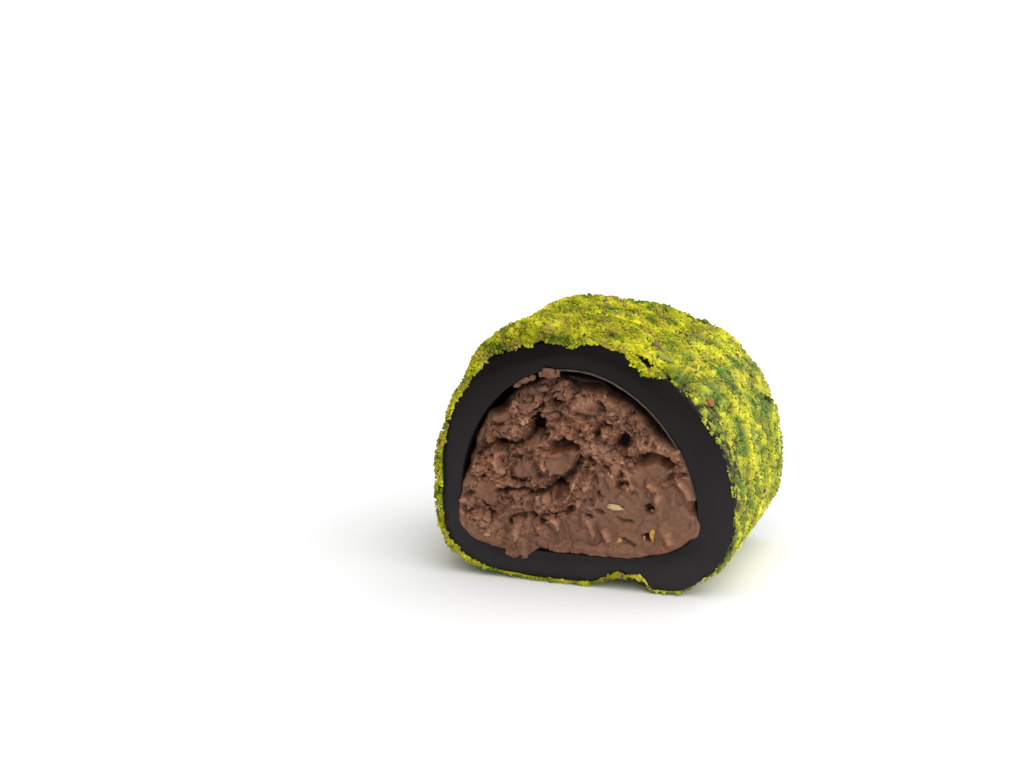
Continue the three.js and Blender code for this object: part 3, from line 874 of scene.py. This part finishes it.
def cavity_film(material):
    """A thin film that stands off the cavity's wall at the upper right."""
    angle = np.radians(np.linspace(FILM.start, FILM.end, FILM.steps))
    along = FILM.radius * np.stack([np.cos(angle), 0 * angle, np.sin(angle)], axis=1)
    outer = -FILM.inset - waves_at(along, FILM_WAVES.inset)
    front = FILM.front + noise_at(along, *FILM_WAVES.front)
    thick = FILM.thick * (1 + noise_at(along, *FILM_WAVES.thick))
    back = np.full_like(front, FILM.front + FILM.depth)
    rounded = front + FILM.rounding
    corners = [(rounded, outer), (front, outer - thick / 2), (rounded, outer - thick),
               (front + FILM.light_depth, outer - thick), (back, outer - thick), (back, FILM.rooted)]
    loops = np.array([cavity_wall(angle, y, grow) for y, grow in corners]).transpose(1, 0, 2)
    faces = loop_faces(len(loops), len(corners), False)[:, ::-1].tolist()
    ends = np.arange(len(corners))
    faces += [ends.tolist(), ((len(loops) - 1) * len(corners) + ends[::-1]).tolist()]
    # Painted light on the film's front edge, painted shade on its sides and back
    tint = np.tile(FILM_PAINTED_LIGHT_AND_SHADE[:, None] * FILM.colour, (len(loops), 1))
    finish_piece(new_piece("cavity_film", loops.reshape(-1, 3), faces, material, tint))


def face_bits(name, bits, tints, material):
    """Lumps or bits of nut that sit in the torn face."""
    rng = np.random.default_rng(SEED)
    shapes, faces = chip_shapes(rng, BIT.detail, len(bits), BIT.flats, BIT.uneven)
    x = np.array([bit.x for bit in bits])
    z = np.array([bit.z for bit in bits])
    height = torn_relief(x, z, 0, FRONT)[0]
    points = []
    for bit, shape, middle, rise in zip(bits, shapes, on_roll(x, 0.0, z), height):
        turn = np.array(Matrix.Rotation(math.radians(bit.turn), 3, "Y"))
        back = getattr(bit, "back", (NUT_SUNK - 0.5) * bit.size[1] - rise)
        points.append((shape * bit.size) @ turn.T + middle + [0, back, 0])
    join_crumbs(name, [(np.array(points), faces, np.array(tints))], material, None)


# The pistachio coat

COAT_THICKNESS = 0.92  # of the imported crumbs, without those that stand out
COAT_LEAST = 0.2
COAT_WAVES = [(6.0, 20, 0.3), (2.2, 26, 0.25)]
FLOOR_GAP = 0.03  # kept between the coat and the floor
UNDER_COAT = -FLOOR_Z - FLOOR_GAP
# Round the roll in degrees: where the coat is thicker or thinner at the front and at the back
COAT_SWELLS = table(
    "angle half front back",
    (112, 27, 1.2, 0.0), (108, 15, 0.9, 0.2), (147, 26, -0.7, -0.3), (182, 26, 0.2, 0.2),
    (226, 34, -0.85, -0.85), (328, 36, -0.5, -0.5), (38, 26, 0.0, 0.5), (12, 50, -0.75, 0.0))
SWELL_CORE = 0.2
SWELL_CHANGE = (4.0, 13.0)  # along the roll, between the front and the back
# The coat's edge rounds over onto the cut face, is drawn there by a run of its own, and stands
# proud where it reaches far
LIP = Values(radius=0.5, front=-0.15, run=2.4, inset=0.1, least=0.05, proud=0.4, proud_over=(0.3, 1.6))
LIP_ARC = LIP.radius * QUARTER_TURN
LIP_RUN = LIP_ARC + LIP.run
COAT_RUN = LENGTH - 2 * (LIP.front + LIP.radius)
# Round the edges in degrees: where the coat reaches further over the cut faces, and more at the front
LIP_SWELLS = table("angle half extra", (122, 48, 0.6), (80, 26, 0.25))
LOBES = table("angle half extra", (61, 10, 2.3), (90, 8, 0.3))
# Between a lobe and the coat over it
CRACK = Values(angle=62, half=4.5, share=0.14, width=0.1, ragged_angle=4.0, ragged_share=0.12)
# Where the coat is patchy: at the right, along the front edge and behind it, and at the left front
# edge. It ends raggedly on the cut faces.
COVER = Values(whole=1.1, none=2.0, waves=[(2.6, 21), (1.1, 22, 0.6)], right=(9.5, 16.0), edge=(-0.8, 5.0),
               edge_ragged=1.2, edge_share=0.93, behind=(6.0, 13.0), patches=(0.0, 0.35), left=(14.0, 18.0),
               left_edge=(0.5, 3.0), left_share=0.32, end=(0.55, 1.0), end_ragged=0.25)
PATCH = dict(size=0.75, seed=29)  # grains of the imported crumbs, and patches where they are missing
PATCH_SHIFT = Values(size=0.7, seeds=(31, 32, 33), share=0.3)


def swell(angle, parts):
    """Sum of bumps round the roll."""
    return sum(part.extra * bulge(angle, part, SWELL_CORE) for part in parts)


def coat_thickness(angle, y):
    thick = COAT_THICKNESS * (1 + waves_at(jelly_skin(angle, y), COAT_WAVES))
    to_back = smoothstep(y, *SWELL_CHANGE)
    for part in COAT_SWELLS:
        thick = thick + bulge(angle, part, SWELL_CORE) * between(part.front, part.back, to_back)
    return np.maximum(thick, COAT_LEAST)


def past_ends(run):
    """How far a place lies past the ends of the roll's side, below 0 on that side."""
    return np.maximum(-run, run - COAT_RUN)


def lip_share(run):
    """0 up to the coat's rounded edge, and from there to 1 where the coat ends on the cut face."""
    return np.maximum(past_ends(run) - LIP_ARC, 0.0) / LIP.run


def coat_place(angle, run, rise=0.0):
    """A place on the coat, raised by rise: run goes along the roll and, past its ends, over the lips."""
    is_front = run < COAT_RUN / 2
    turn = np.minimum(np.maximum(past_ends(run), 0.0) / LIP.radius, QUARTER_TURN)
    station = LIP.front + LIP.radius + np.clip(run, 0.0, COAT_RUN)
    thick = coat_thickness(angle, station)
    inset = LIP.inset + swell(angle, LIP_SWELLS) + np.where(is_front, swell(angle, LOBES), 0.0)

    def grown(thickness):
        """How far the coat stands off the jelly, falling over the lip."""
        inwards = lip_share(run) * np.maximum(thickness - LIP.radius + inset, LIP.least)
        return thickness + LIP.radius * (np.cos(turn) - 1) + rise * np.cos(turn) - inwards

    proud = LIP.proud * smoothstep(inset * lip_share(run), *LIP.proud_over)
    out = (LIP.radius + rise) * np.sin(turn) + proud
    y = station + np.where(is_front, -out, out)
    below = np.minimum(grown(np.minimum(thick, UNDER_COAT)), UNDER_COAT)
    return jelly_skin(angle, y, grown(thick), below)


def coat_cover(angle, run, place):
    """How well the coat covers the jelly, 1 or more where it is whole."""
    x, y = place[:, 0], place[:, 1]
    ragged = waves_at(place, COVER.waves)
    edge = COVER.edge_share * fading(y + COVER.edge_ragged * ragged, *COVER.edge)
    behind = fading(y, *COVER.behind) * smoothstep(ragged, *COVER.patches)
    at_left = smoothstep(-x, *COVER.left) * fading(y + ragged, *COVER.left_edge)
    crack = np.abs(np.degrees(angle) - CRACK.angle + CRACK.ragged_angle * ragged) < CRACK.half
    inwards = np.abs(lip_share(run) - CRACK.share + CRACK.ragged_share * ragged) < CRACK.width
    gone = crack & (run < 0) & inwards
    past_end = smoothstep(lip_share(run) - COVER.end_ragged * ragged, *COVER.end)
    cover = COVER.whole - smoothstep(x, *COVER.right) * np.maximum(edge, behind)
    return cover - COVER.left_share * at_left - COVER.none * gone - COVER.none * past_end


def coat_cells(place):
    """The grain of each place: distance and offset from its middle, and three random numbers."""
    shift = np.stack([noise_at(place, PATCH_SHIFT.size, seed) for seed in PATCH_SHIFT.seeds], axis=1)
    return cells_at(place + PATCH_SHIFT.share * shift, **PATCH)


def coat_frame(angle, run, rise):
    """Places on the coat with the directions round the roll, along it and outwards."""
    step = 0.01  # over which the directions are taken
    place = coat_place(angle, run, rise)
    round_roll = unit(coat_place(angle + step, run, rise) - place)
    outward = unit(np.cross(coat_place(angle, run + step, rise) - place, round_roll))
    return place, np.stack([round_roll, np.cross(outward, round_roll), outward], axis=2)


# Colours of the pistachio

# From the greenest to the palest: the tone up to which a crumb is of that kind, and its colour there
KINDS = {
    "deep_green": Values(up_to=-0.9, colour=(0.1, 0.17, 0.014)),
    "mid_green": Values(up_to=-0.5, colour=(0.25, 0.29, 0.011)),
    "lime": Values(up_to=0.05, colour=(0.4, 0.41, 0.012)),
    "yellow_green": Values(up_to=0.65, colour=(0.56, 0.53, 0.018)),
    "pale": Values(up_to=9.0, colour=(0.6, 0.54, 0.07)),
}
PALEST = 0.7  # how far past the last kind but one the palest colour is reached
STRAY_KINDS = {"tan": Values(share=0.075, colour=(0.33, 0.21, 0.06)),
               "skin": Values(share=0.02, colour=(0.15, 0.1, 0.075))}
TONE_WAVES = [(3.4, 27), (1.6, 28, 1.2)]
# The coat gets greener and less brown to the right, and painted light makes it lighter and whiter there
TO_RIGHT = Values(over=(6.0, 18.0), greener=0.3, less_brown=0.6)
BROWN = Values(wave=(2.0, 34), over=(0.05, 0.5), share=0.5)
LIGHT_WAVES = [(1.9, 35, 0.45), (6.0, 36, 0.35)]
# Painted light: where the coat gets lighter and whiter to the right, and by how much
RIGHT_PAINTED_LIGHT = Values(over=(8.0, 19.0), lighter=0.2, whiter=0.032)


def coat_tone(place):
    """How far the pistachio goes from green to yellow at a place: crumbs that lie together are alike."""
    return waves_at(place, TONE_WAVES) - TO_RIGHT.greener * smoothstep(place[:, 0], *TO_RIGHT.over)


def tone_colour(tone):
    """Colour of pistachio of a tone, between the colours of its kinds."""
    kinds = list(KINDS.values())
    tones = [kind.up_to for kind in kinds[:-1]] + [kinds[-2].up_to + PALEST]
    return np.stack([np.interp(tone, tones, [kind.colour[i] for kind in kinds]) for i in range(3)], axis=1)


def coat_colour(place, tone):
    """Colour of the pistachio at a place: in patches it is browner, and painted light makes it lighter and
    whiter to the right.
    """
    brown = BROWN.share * smoothstep(noise_at(place, *BROWN.wave), *BROWN.over)
    brown *= 1 - TO_RIGHT.less_brown * smoothstep(place[:, 0], *TO_RIGHT.over)
    mixed = between(tone_colour(tone), np.array(STRAY_KINDS["tan"].colour), brown[:, None])
    # Painted light, lighter and whiter to the right
    painted_light_right = smoothstep(place[:, 0], *RIGHT_PAINTED_LIGHT.over)
    light = 1 + waves_at(place, LIGHT_WAVES) + RIGHT_PAINTED_LIGHT.lighter * painted_light_right
    return mixed * light[:, None] + RIGHT_PAINTED_LIGHT.whiter * painted_light_right[:, None]


# Crumbs and chips of pistachio

# By size: how many, the detail of their mesh, how flat they are, how far they tilt and stand out,
# and how far neighbours differ in tone. The last two are for the lips and for each clump.
*SIZES, LIP_CRUMBS, CLUMP_CRUMBS = table(
    "count smallest largest detail flat tilt rise mixed",
    (70, 1.1, 1.9, 3, 0.4, 0.2, 0.18, 0.17),
    (1500, 0.6, 1.1, 2, 0.55, 0.5, 0.18, 0.17),
    (14500, 0.3, 0.62, 1, 0.75, 0.8, 0.18, 0.17),
    (4200, 0.38, 0.72, 1, 0.85, 0.8, 0.24, 0.35),
    (18, 0.8, 1.5, 2, 0.55, 0.5, 0.18, 0.17))
# All sizes: how large and stretched they come, how far they sink in, and where they are smaller,
# which is at the foot, in the patchy part at the right and on the lips
CRUMB = Values(variants=32, power=1.6, stretch=(0.75, 1.35), sink=(-0.4, 0.0),
               foot=0.52, foot_over=(0.0, 2.5), bare=0.4, bare_over=(2.0, 10.0),
               lip=0.15, lip_over=(0.0, 0.8), tint=(0.94, 1.06), sharp=40)
OVER_FLOOR = 0.02  # least height of a crumb over the floor
STRAY_SHARE = 0.12  # of the crumbs in a bare patch that stay
THIN_FOOT = Values(share=0.4, over=(0.5, 5.0))  # of the crumbs near the foot that are left out
OUTLINE_STEPS = 2881
SPREAD = (-0.1, 1.1)  # where a crumb may lie in its cell of the grid
# Clumps of crumbs at the foot of the front face: round the roll in degrees, and where along it
CLUMP = Values(angles=[209, 220, 278, 297, 307], spread=1.5, run=(-1.2, -0.4))
# Chips that stand out on the front: angle in degrees, place along the roll, length, width and turn
MARKS = table(
    "angle run size turn kind tint",
    (57.4, 2.0, (4.2, 2.0), 35, "deep_green", (0.25, 0.29, 0.05)),
    (63.6, 4.2, (1.4, 1.1), 0, "skin", (0.13, 0.085, 0.085)),
    (43.2, 10.9, (2.0, 1.7), 20, "deep_green", (0.055, 0.17, 0.02)),
    (22.0, 21.5, (1.6, 1.9), 0, "deep_green", (0.03, 0.05, 0.02)),
    (77.4, 11.2, (2.1, 1.9), 30, "yellow_green", (0.6, 0.58, 0.02)),
    (36.2, 4.4, (1.9, 1.0), 60, "tan", (0.28, 0.125, 0.04)))
MARK = Values(detail=4, flats=3, uneven=0.7, rise=0.02, thick=0.8)


def outline_table():
    """Angles and the distance along the coat's outline up to each."""
    angle = np.linspace(0, FULL_TURN, OUTLINE_STEPS)
    x, z = outline(JELLY, angle, COAT_THICKNESS)
    steps = np.hypot(np.diff(x), np.diff(standing(x, z, -COAT_UNDERNEATH)))
    return angle, np.concatenate([[0], np.cumsum(steps)])


def even_spread(rng, count):
    """Angles and runs spread over the unrolled coat, one in each cell of a grid."""
    table_angle, table_reach = outline_table()
    width, height = table_reach[-1], COAT_RUN + 2 * LIP_RUN
    cell = math.sqrt(width * height / count)
    rows, columns = round(height / cell), round(width / cell)
    row, column = (grid.ravel() for grid in np.meshgrid(np.arange(rows), np.arange(columns), indexing="ij"))
    across = (column + 0.5 * (row % 2) + rng.uniform(*SPREAD, row.size)) / columns
    along = (row + rng.uniform(*SPREAD, row.size)) / rows
    angle = np.interp(np.mod(across, 1.0) * width, table_reach, table_angle)
    return angle, np.clip(along, 0.0, 1.0) * height - LIP_RUN


def lip_spread(rng, count):
    """Angles and runs spread over the lips at both ends of the coat."""
    table_angle, table_reach = outline_table()
    angle = np.interp(rng.random(count) * table_reach[-1], table_reach, table_angle)
    past = rng.uniform(LIP.radius, LIP_RUN, count)
    return angle, np.where(rng.random(count) < 0.5, -past, COAT_RUN + past)


def clump_spread(rng):
    """Angles and runs of the crumbs that clump together at the foot of the front face."""
    angle = np.radians(np.repeat(CLUMP.angles, CLUMP_CRUMBS.count))
    angle = angle + rng.normal(0, math.radians(CLUMP.spread), len(angle))
    return angle, rng.uniform(*CLUMP.run, len(angle))


def covered(rng, angle, run):
    """Which places hold a crumb: few do in a bare patch, and fewer near the foot than above."""
    place = coat_place(angle, run)
    thinned = THIN_FOOT.share * fading(place[:, 2], *THIN_FOOT.over)
    packed = coat_cover(angle, run, place) > coat_cells(place)[2][:, 0]
    packed = packed & (rng.random(len(angle)) > thinned)
    return packed | (rng.random(len(angle)) < STRAY_SHARE) & (run > 0)


def crumb_meshes(rng, size, shapes, angle, run):
    """Points of each crumb of a size, at its place on the coat and over the floor."""
    count = len(angle)
    across = between(size.smallest, size.largest, rng.random(count) ** CRUMB.power)
    place, axes = coat_frame(angle, run, size.rise + across * rng.uniform(*CRUMB.sink, count))
    bare = smoothstep(place[:, 0], *COVER.right) * fading(place[:, 1], *CRUMB.bare_over)
    across = across * between(CRUMB.foot, 1.0, smoothstep(place[:, 2], *CRUMB.foot_over))
    across = across * (1 - CRUMB.bare * bare)
    across = across * (1 - CRUMB.lip * smoothstep(past_ends(run), *CRUMB.lip_over))
    stretch = rng.uniform(*CRUMB.stretch, count)
    scale = np.stack([across * stretch, across / stretch, across * size.flat], axis=1)
    local = turned_shapes(rng, shapes, scale, size.tilt)
    points = place[:, None, :] + np.einsum("nij,nvj->nvi", axes, local)
    sunk = np.maximum(0, FLOOR_Z + OVER_FLOOR - points[..., 2].min(axis=1))
    points[..., 2] += sunk[:, None]
    return points


def crumb_kinds(rng, place, mixed):
    """The kind of each crumb, as a number, and its colour: mixed is how far neighbours differ in tone."""
    count = len(place)
    tone = coat_tone(place) + rng.normal(0, mixed, count)
    which = np.searchsorted([kind.up_to for kind in KINDS.values()], tone)
    tint = coat_colour(place, tone)
    draw = rng.random(count)
    taken = 0.0
    for number, kind in enumerate(STRAY_KINDS.values()):
        stray = (draw >= taken) & (draw < taken + kind.share)
        taken += kind.share
        which[stray] = len(KINDS) + number
        tint[stray] = kind.colour
    return which, tint * rng.uniform(*CRUMB.tint, count)[:, None]


def add_crumbs(rng, size, angle, run, gathered):
    """Adds crumbs of a size at places on the coat to those of their kinds."""
    shapes, faces = chip_shapes(rng, size.detail, CRUMB.variants)
    points = crumb_meshes(rng, size, shapes, angle, run)
    which, tint = crumb_kinds(rng, coat_place(angle, run), size.mixed)
    for number, groups in enumerate(gathered.values()):
        groups.append((points[which == number], faces, tint[which == number]))


def mark_chips(rng):
    """The chips that stand out, as groups of one."""
    shapes, faces = chip_shapes(rng, MARK.detail, len(MARKS), MARK.flats, MARK.uneven)
    angle = np.radians([mark.angle for mark in MARKS])
    place, axes = coat_frame(angle, np.array([mark.run for mark in MARKS]), MARK.rise)
    groups = []
    for mark, shape, middle, axis in zip(MARKS, shapes, place, axes):
        turn = np.array(Matrix.Rotation(math.radians(mark.turn), 3, "Z"))
        points = (shape * [*mark.size, MARK.thick]) @ turn.T @ axis.T + middle
        groups.append((points[None], faces, np.array([mark.tint])))
    return groups


def scatter_crumbs():
    rng = np.random.default_rng(SEED)
    gathered = {name: [] for name in [*KINDS, *STRAY_KINDS]}
    for size in [*SIZES, LIP_CRUMBS]:
        spread = lip_spread if size is LIP_CRUMBS else even_spread
        angle, run = spread(rng, size.count)
        kept = covered(rng, angle, run)
        add_crumbs(rng, size, angle[kept], run[kept], gathered)
    add_crumbs(rng, CLUMP_CRUMBS, *clump_spread(rng), gathered)
    for mark, group in zip(MARKS, mark_chips(rng)):
        gathered[mark.kind].append(group)
    for name, groups in gathered.items():
        material = tinted_material("pistachio_" + name, CRUMB_LOOK)
        join_crumbs("crumbs_" + name, groups, material, "pistachio_coat", CRUMB.sharp)


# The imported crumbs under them

SLEEVE = Values(round_roll=580, along=120, lip=23, rise=0.2, hidden=-0.4, tan_share=0.05, tint=(0.92, 1.08))
INNER = Values(under=-1.0, from_ends=0.6, tint=0.02)  # the sleeve's inside, within the jelly
DIP_OVER = (0.2, 0.8)  # distances from a grain's middle over which it dips, and over which it is painted darker as shade towards the gaps between grains
SHADE_OVER = (0.3, 0.85)
# Grains: step in height, dip, tone, and painted shade towards their gaps
COARSE_GRAIN = Values(step=0.42, dip=0.34, tone=0.5, shade=0.2)
FINE_GRAIN = Values(step=0.16, dip=0.1, tone=0.2, shade=0.15)
FINE_CELLS = dict(size=0.5, seed=30)
# Dust in a share of the bare patches
DUST = Values(share=0.6, thick=0.06, tint=(0.4, 1.6), colour=np.array([0.09, 0.095, 0.025]))


def coat_sleeve(material):
    """A sleeve whose relief is made of grains: where a grain is missing it dips under the jelly's skin,
    or leaves a little dust."""
    segments = SLEEVE.round_roll
    angle = np.linspace(0, FULL_TURN, segments, endpoint=False)
    lip = np.linspace(LIP_RUN, 0, SLEEVE.lip)[:-1]
    runs = np.concatenate([-lip, np.linspace(0, COAT_RUN, SLEEVE.along), COAT_RUN + lip[::-1]])
    angles, all_runs = (grid.ravel() for grid in np.meshgrid(angle, runs, indexing="xy"))
    base = coat_place(angles, all_runs)
    first, offset, chance = coat_cells(base)
    fine_first, _, fine_chance = cells_at(base, **FINE_CELLS)
    present = coat_cover(angles, all_runs, base - offset) > chance[:, 0]
    dusty = ~present & (chance[:, 1] < DUST.share)

    def grains(kind, middle, height_draw, tone_draw):
        """Height, tone and painted shade of the grains of a kind: darker towards the gaps between them."""
        height = (height_draw - 0.5) * kind.step - kind.dip * smoothstep(middle, *DIP_OVER)
        shade = 1 - kind.shade * smoothstep(middle, *SHADE_OVER)
        return height, kind.tone * (tone_draw - 0.5), shade

    height, tone, shade = grains(COARSE_GRAIN, first, chance[:, 1], chance[:, 2])
    fine_height, fine_tone, fine_shade = grains(FINE_GRAIN, fine_first, fine_chance[:, 0], fine_chance[:, 1])
    missing = np.where(dusty, DUST.thick, SLEEVE.hidden)
    missing = missing - coat_thickness(angles, np.clip(base[:, 1], 0, LENGTH))
    rise = np.where(present, height + fine_height + SLEEVE.rise, missing)
    outer = coat_place(angles, all_runs, rise)
    stations = (LENGTH - INNER.from_ends, LENGTH / 2, INNER.from_ends)
    inner = [jelly_skin(angle, y, INNER.under) for y in stations]
    points = np.concatenate([outer, *inner])

    tints = np.full((len(points), 3), INNER.tint)
    # Painted shade towards the gaps between grains, and a random tint for each
    shade = shade * fine_shade * between(*SLEEVE.tint, fine_chance[:, 2])
    tints[:len(outer)] = coat_colour(base, coat_tone(base) + tone + fine_tone) * shade[:, None]
    tints[np.flatnonzero(fine_chance[:, 0] < SLEEVE.tan_share)] = STRAY_KINDS["tan"].colour
    dust = np.flatnonzero(dusty)
    tints[dust] = between(*DUST.tint, fine_chance[dust, 2:]) * DUST.colour
    faces = loop_faces(len(runs) + len(inner), segments, True)[:, ::-1]
    piece = new_piece("packed_pistachio", points, faces, material, tints)
    finish_piece(piece, "pistachio_coat")


# Camera, light and floor

VIEW = Values(azimuth=17.571, elevation=16.63, distance=410.0, right=-7.92, up=26.15)  # angles in degrees
FOCAL_PIXELS = 3100.4
PHOTO_WIDTH = 1024
SENSOR_WIDTH = 36.0
CLIP = (0.01, 20.0)  # metres
SKY_AXIS = (0.45, -0.1, 0.89)  # the sky's brightest side
SKY_COLOURS = [(0.0, (0.12, 0.125, 0.13)), (0.2, (0.2, 0.205, 0.21)),
               (0.6, (0.7, 0.715, 0.73)), (1.0, (0.88, 0.9, 0.92))]
KEY = Values(energy=2.8, colour=(1.0, 0.985, 0.96), wide=120, tilt=12, turn=46)  # angles in degrees
FLOOR_HALF = 3.0  # metres
FLOOR_GLOSS = dict(roughness=0.6, specular=0.2)
FLOOR_COLOUR = (0.95, 0.95, 0.95, 1.0)


def set_camera():
    azimuth, elevation = math.radians(VIEW.azimuth), math.radians(VIEW.elevation)
    level = math.cos(elevation)
    back = np.array([math.sin(azimuth) * level, -math.cos(azimuth) * level, math.sin(elevation)])
    right = np.array([math.cos(azimuth), math.sin(azimuth), 0.0])
    up = np.cross(back, right)
    centre = to_frame(back * VIEW.distance + right * VIEW.right + up * VIEW.up)
    data = bpy.data.cameras.new("camera")
    data.sensor_width = SENSOR_WIDTH
    data.lens = FOCAL_PIXELS * SENSOR_WIDTH / PHOTO_WIDTH
    data.clip_start, data.clip_end = CLIP
    camera = add_object("camera", data)
    turn = Matrix([right, up, back]).transposed()
    camera.matrix_world = Matrix.Translation(Vector(centre)) @ turn.to_4x4()
    bpy.context.scene.camera = camera


def set_light():
    scene = bpy.context.scene
    scene.view_settings.view_transform = "Standard"
    world = bpy.data.worlds.new("studio")
    world.use_nodes = True
    tree = world.node_tree
    direction = add_node(tree, "ShaderNodeTexCoord").outputs["Generated"]
    towards = add_node(tree, "ShaderNodeVectorMath", operation="DOT_PRODUCT")
    towards.inputs[1].default_value = SKY_AXIS
    tree.links.new(direction, towards.inputs[0])
    sky = ramp(tree, towards.outputs["Value"], SKY_COLOURS)
    tree.links.new(sky, tree.nodes["Background"].inputs["Color"])
    scene.world = world
    key = bpy.data.lights.new("key", "SUN")
    key.energy = KEY.energy
    key.color = KEY.colour
    key.angle = math.radians(KEY.wide)
    lamp = add_object("key", key)
    lamp.rotation_euler = (math.radians(KEY.tilt), math.radians(KEY.turn), 0)


def make_floor():
    material, _, shader = new_material("white_floor", **FLOOR_GLOSS)
    shader.inputs["Base Color"].default_value = FLOOR_COLOUR
    mesh = bpy.data.meshes.new("floor")
    corners = [(FLOOR_HALF * x, FLOOR_HALF * y, 0) for x, y in ((-1, -1), (1, -1), (1, 1), (-1, 1))]
    mesh.from_pydata(corners, [], [(0, 1, 2, 3)])
    mesh.materials.append(material)
    floor = add_object("floor", mesh)


def dress():
    jelly_ring(jelly_material())
    cream = tinted_material("chocolate_cream", CREAM_LOOK)
    cream_half("cream_front", cream, FRONT, steps=250, crumbs=650, y=0.0, outwards=-1, seed=0)
    cream_half("cream_back", cream, BACK, steps=170, crumbs=400, y=LENGTH, outwards=1, seed=1)
    cavity_film(tinted_material("chocolate_film", FILM_LOOK))
    face_bits("cream_lumps", LUMPS, [LUMP_SHADE * CREAM_COLOUR] * len(LUMPS), cream)
    face_bits("nut_bits", NUTS, [bit.tint for bit in NUTS], tinted_material("nut_bits", NUT_LOOK))
    coat_sleeve(tinted_material("packed_pistachio", SLEEVE_LOOK))
    scatter_crumbs()


dress()
set_camera()
set_light()
make_floor()

bpy.context.view_layer.update()
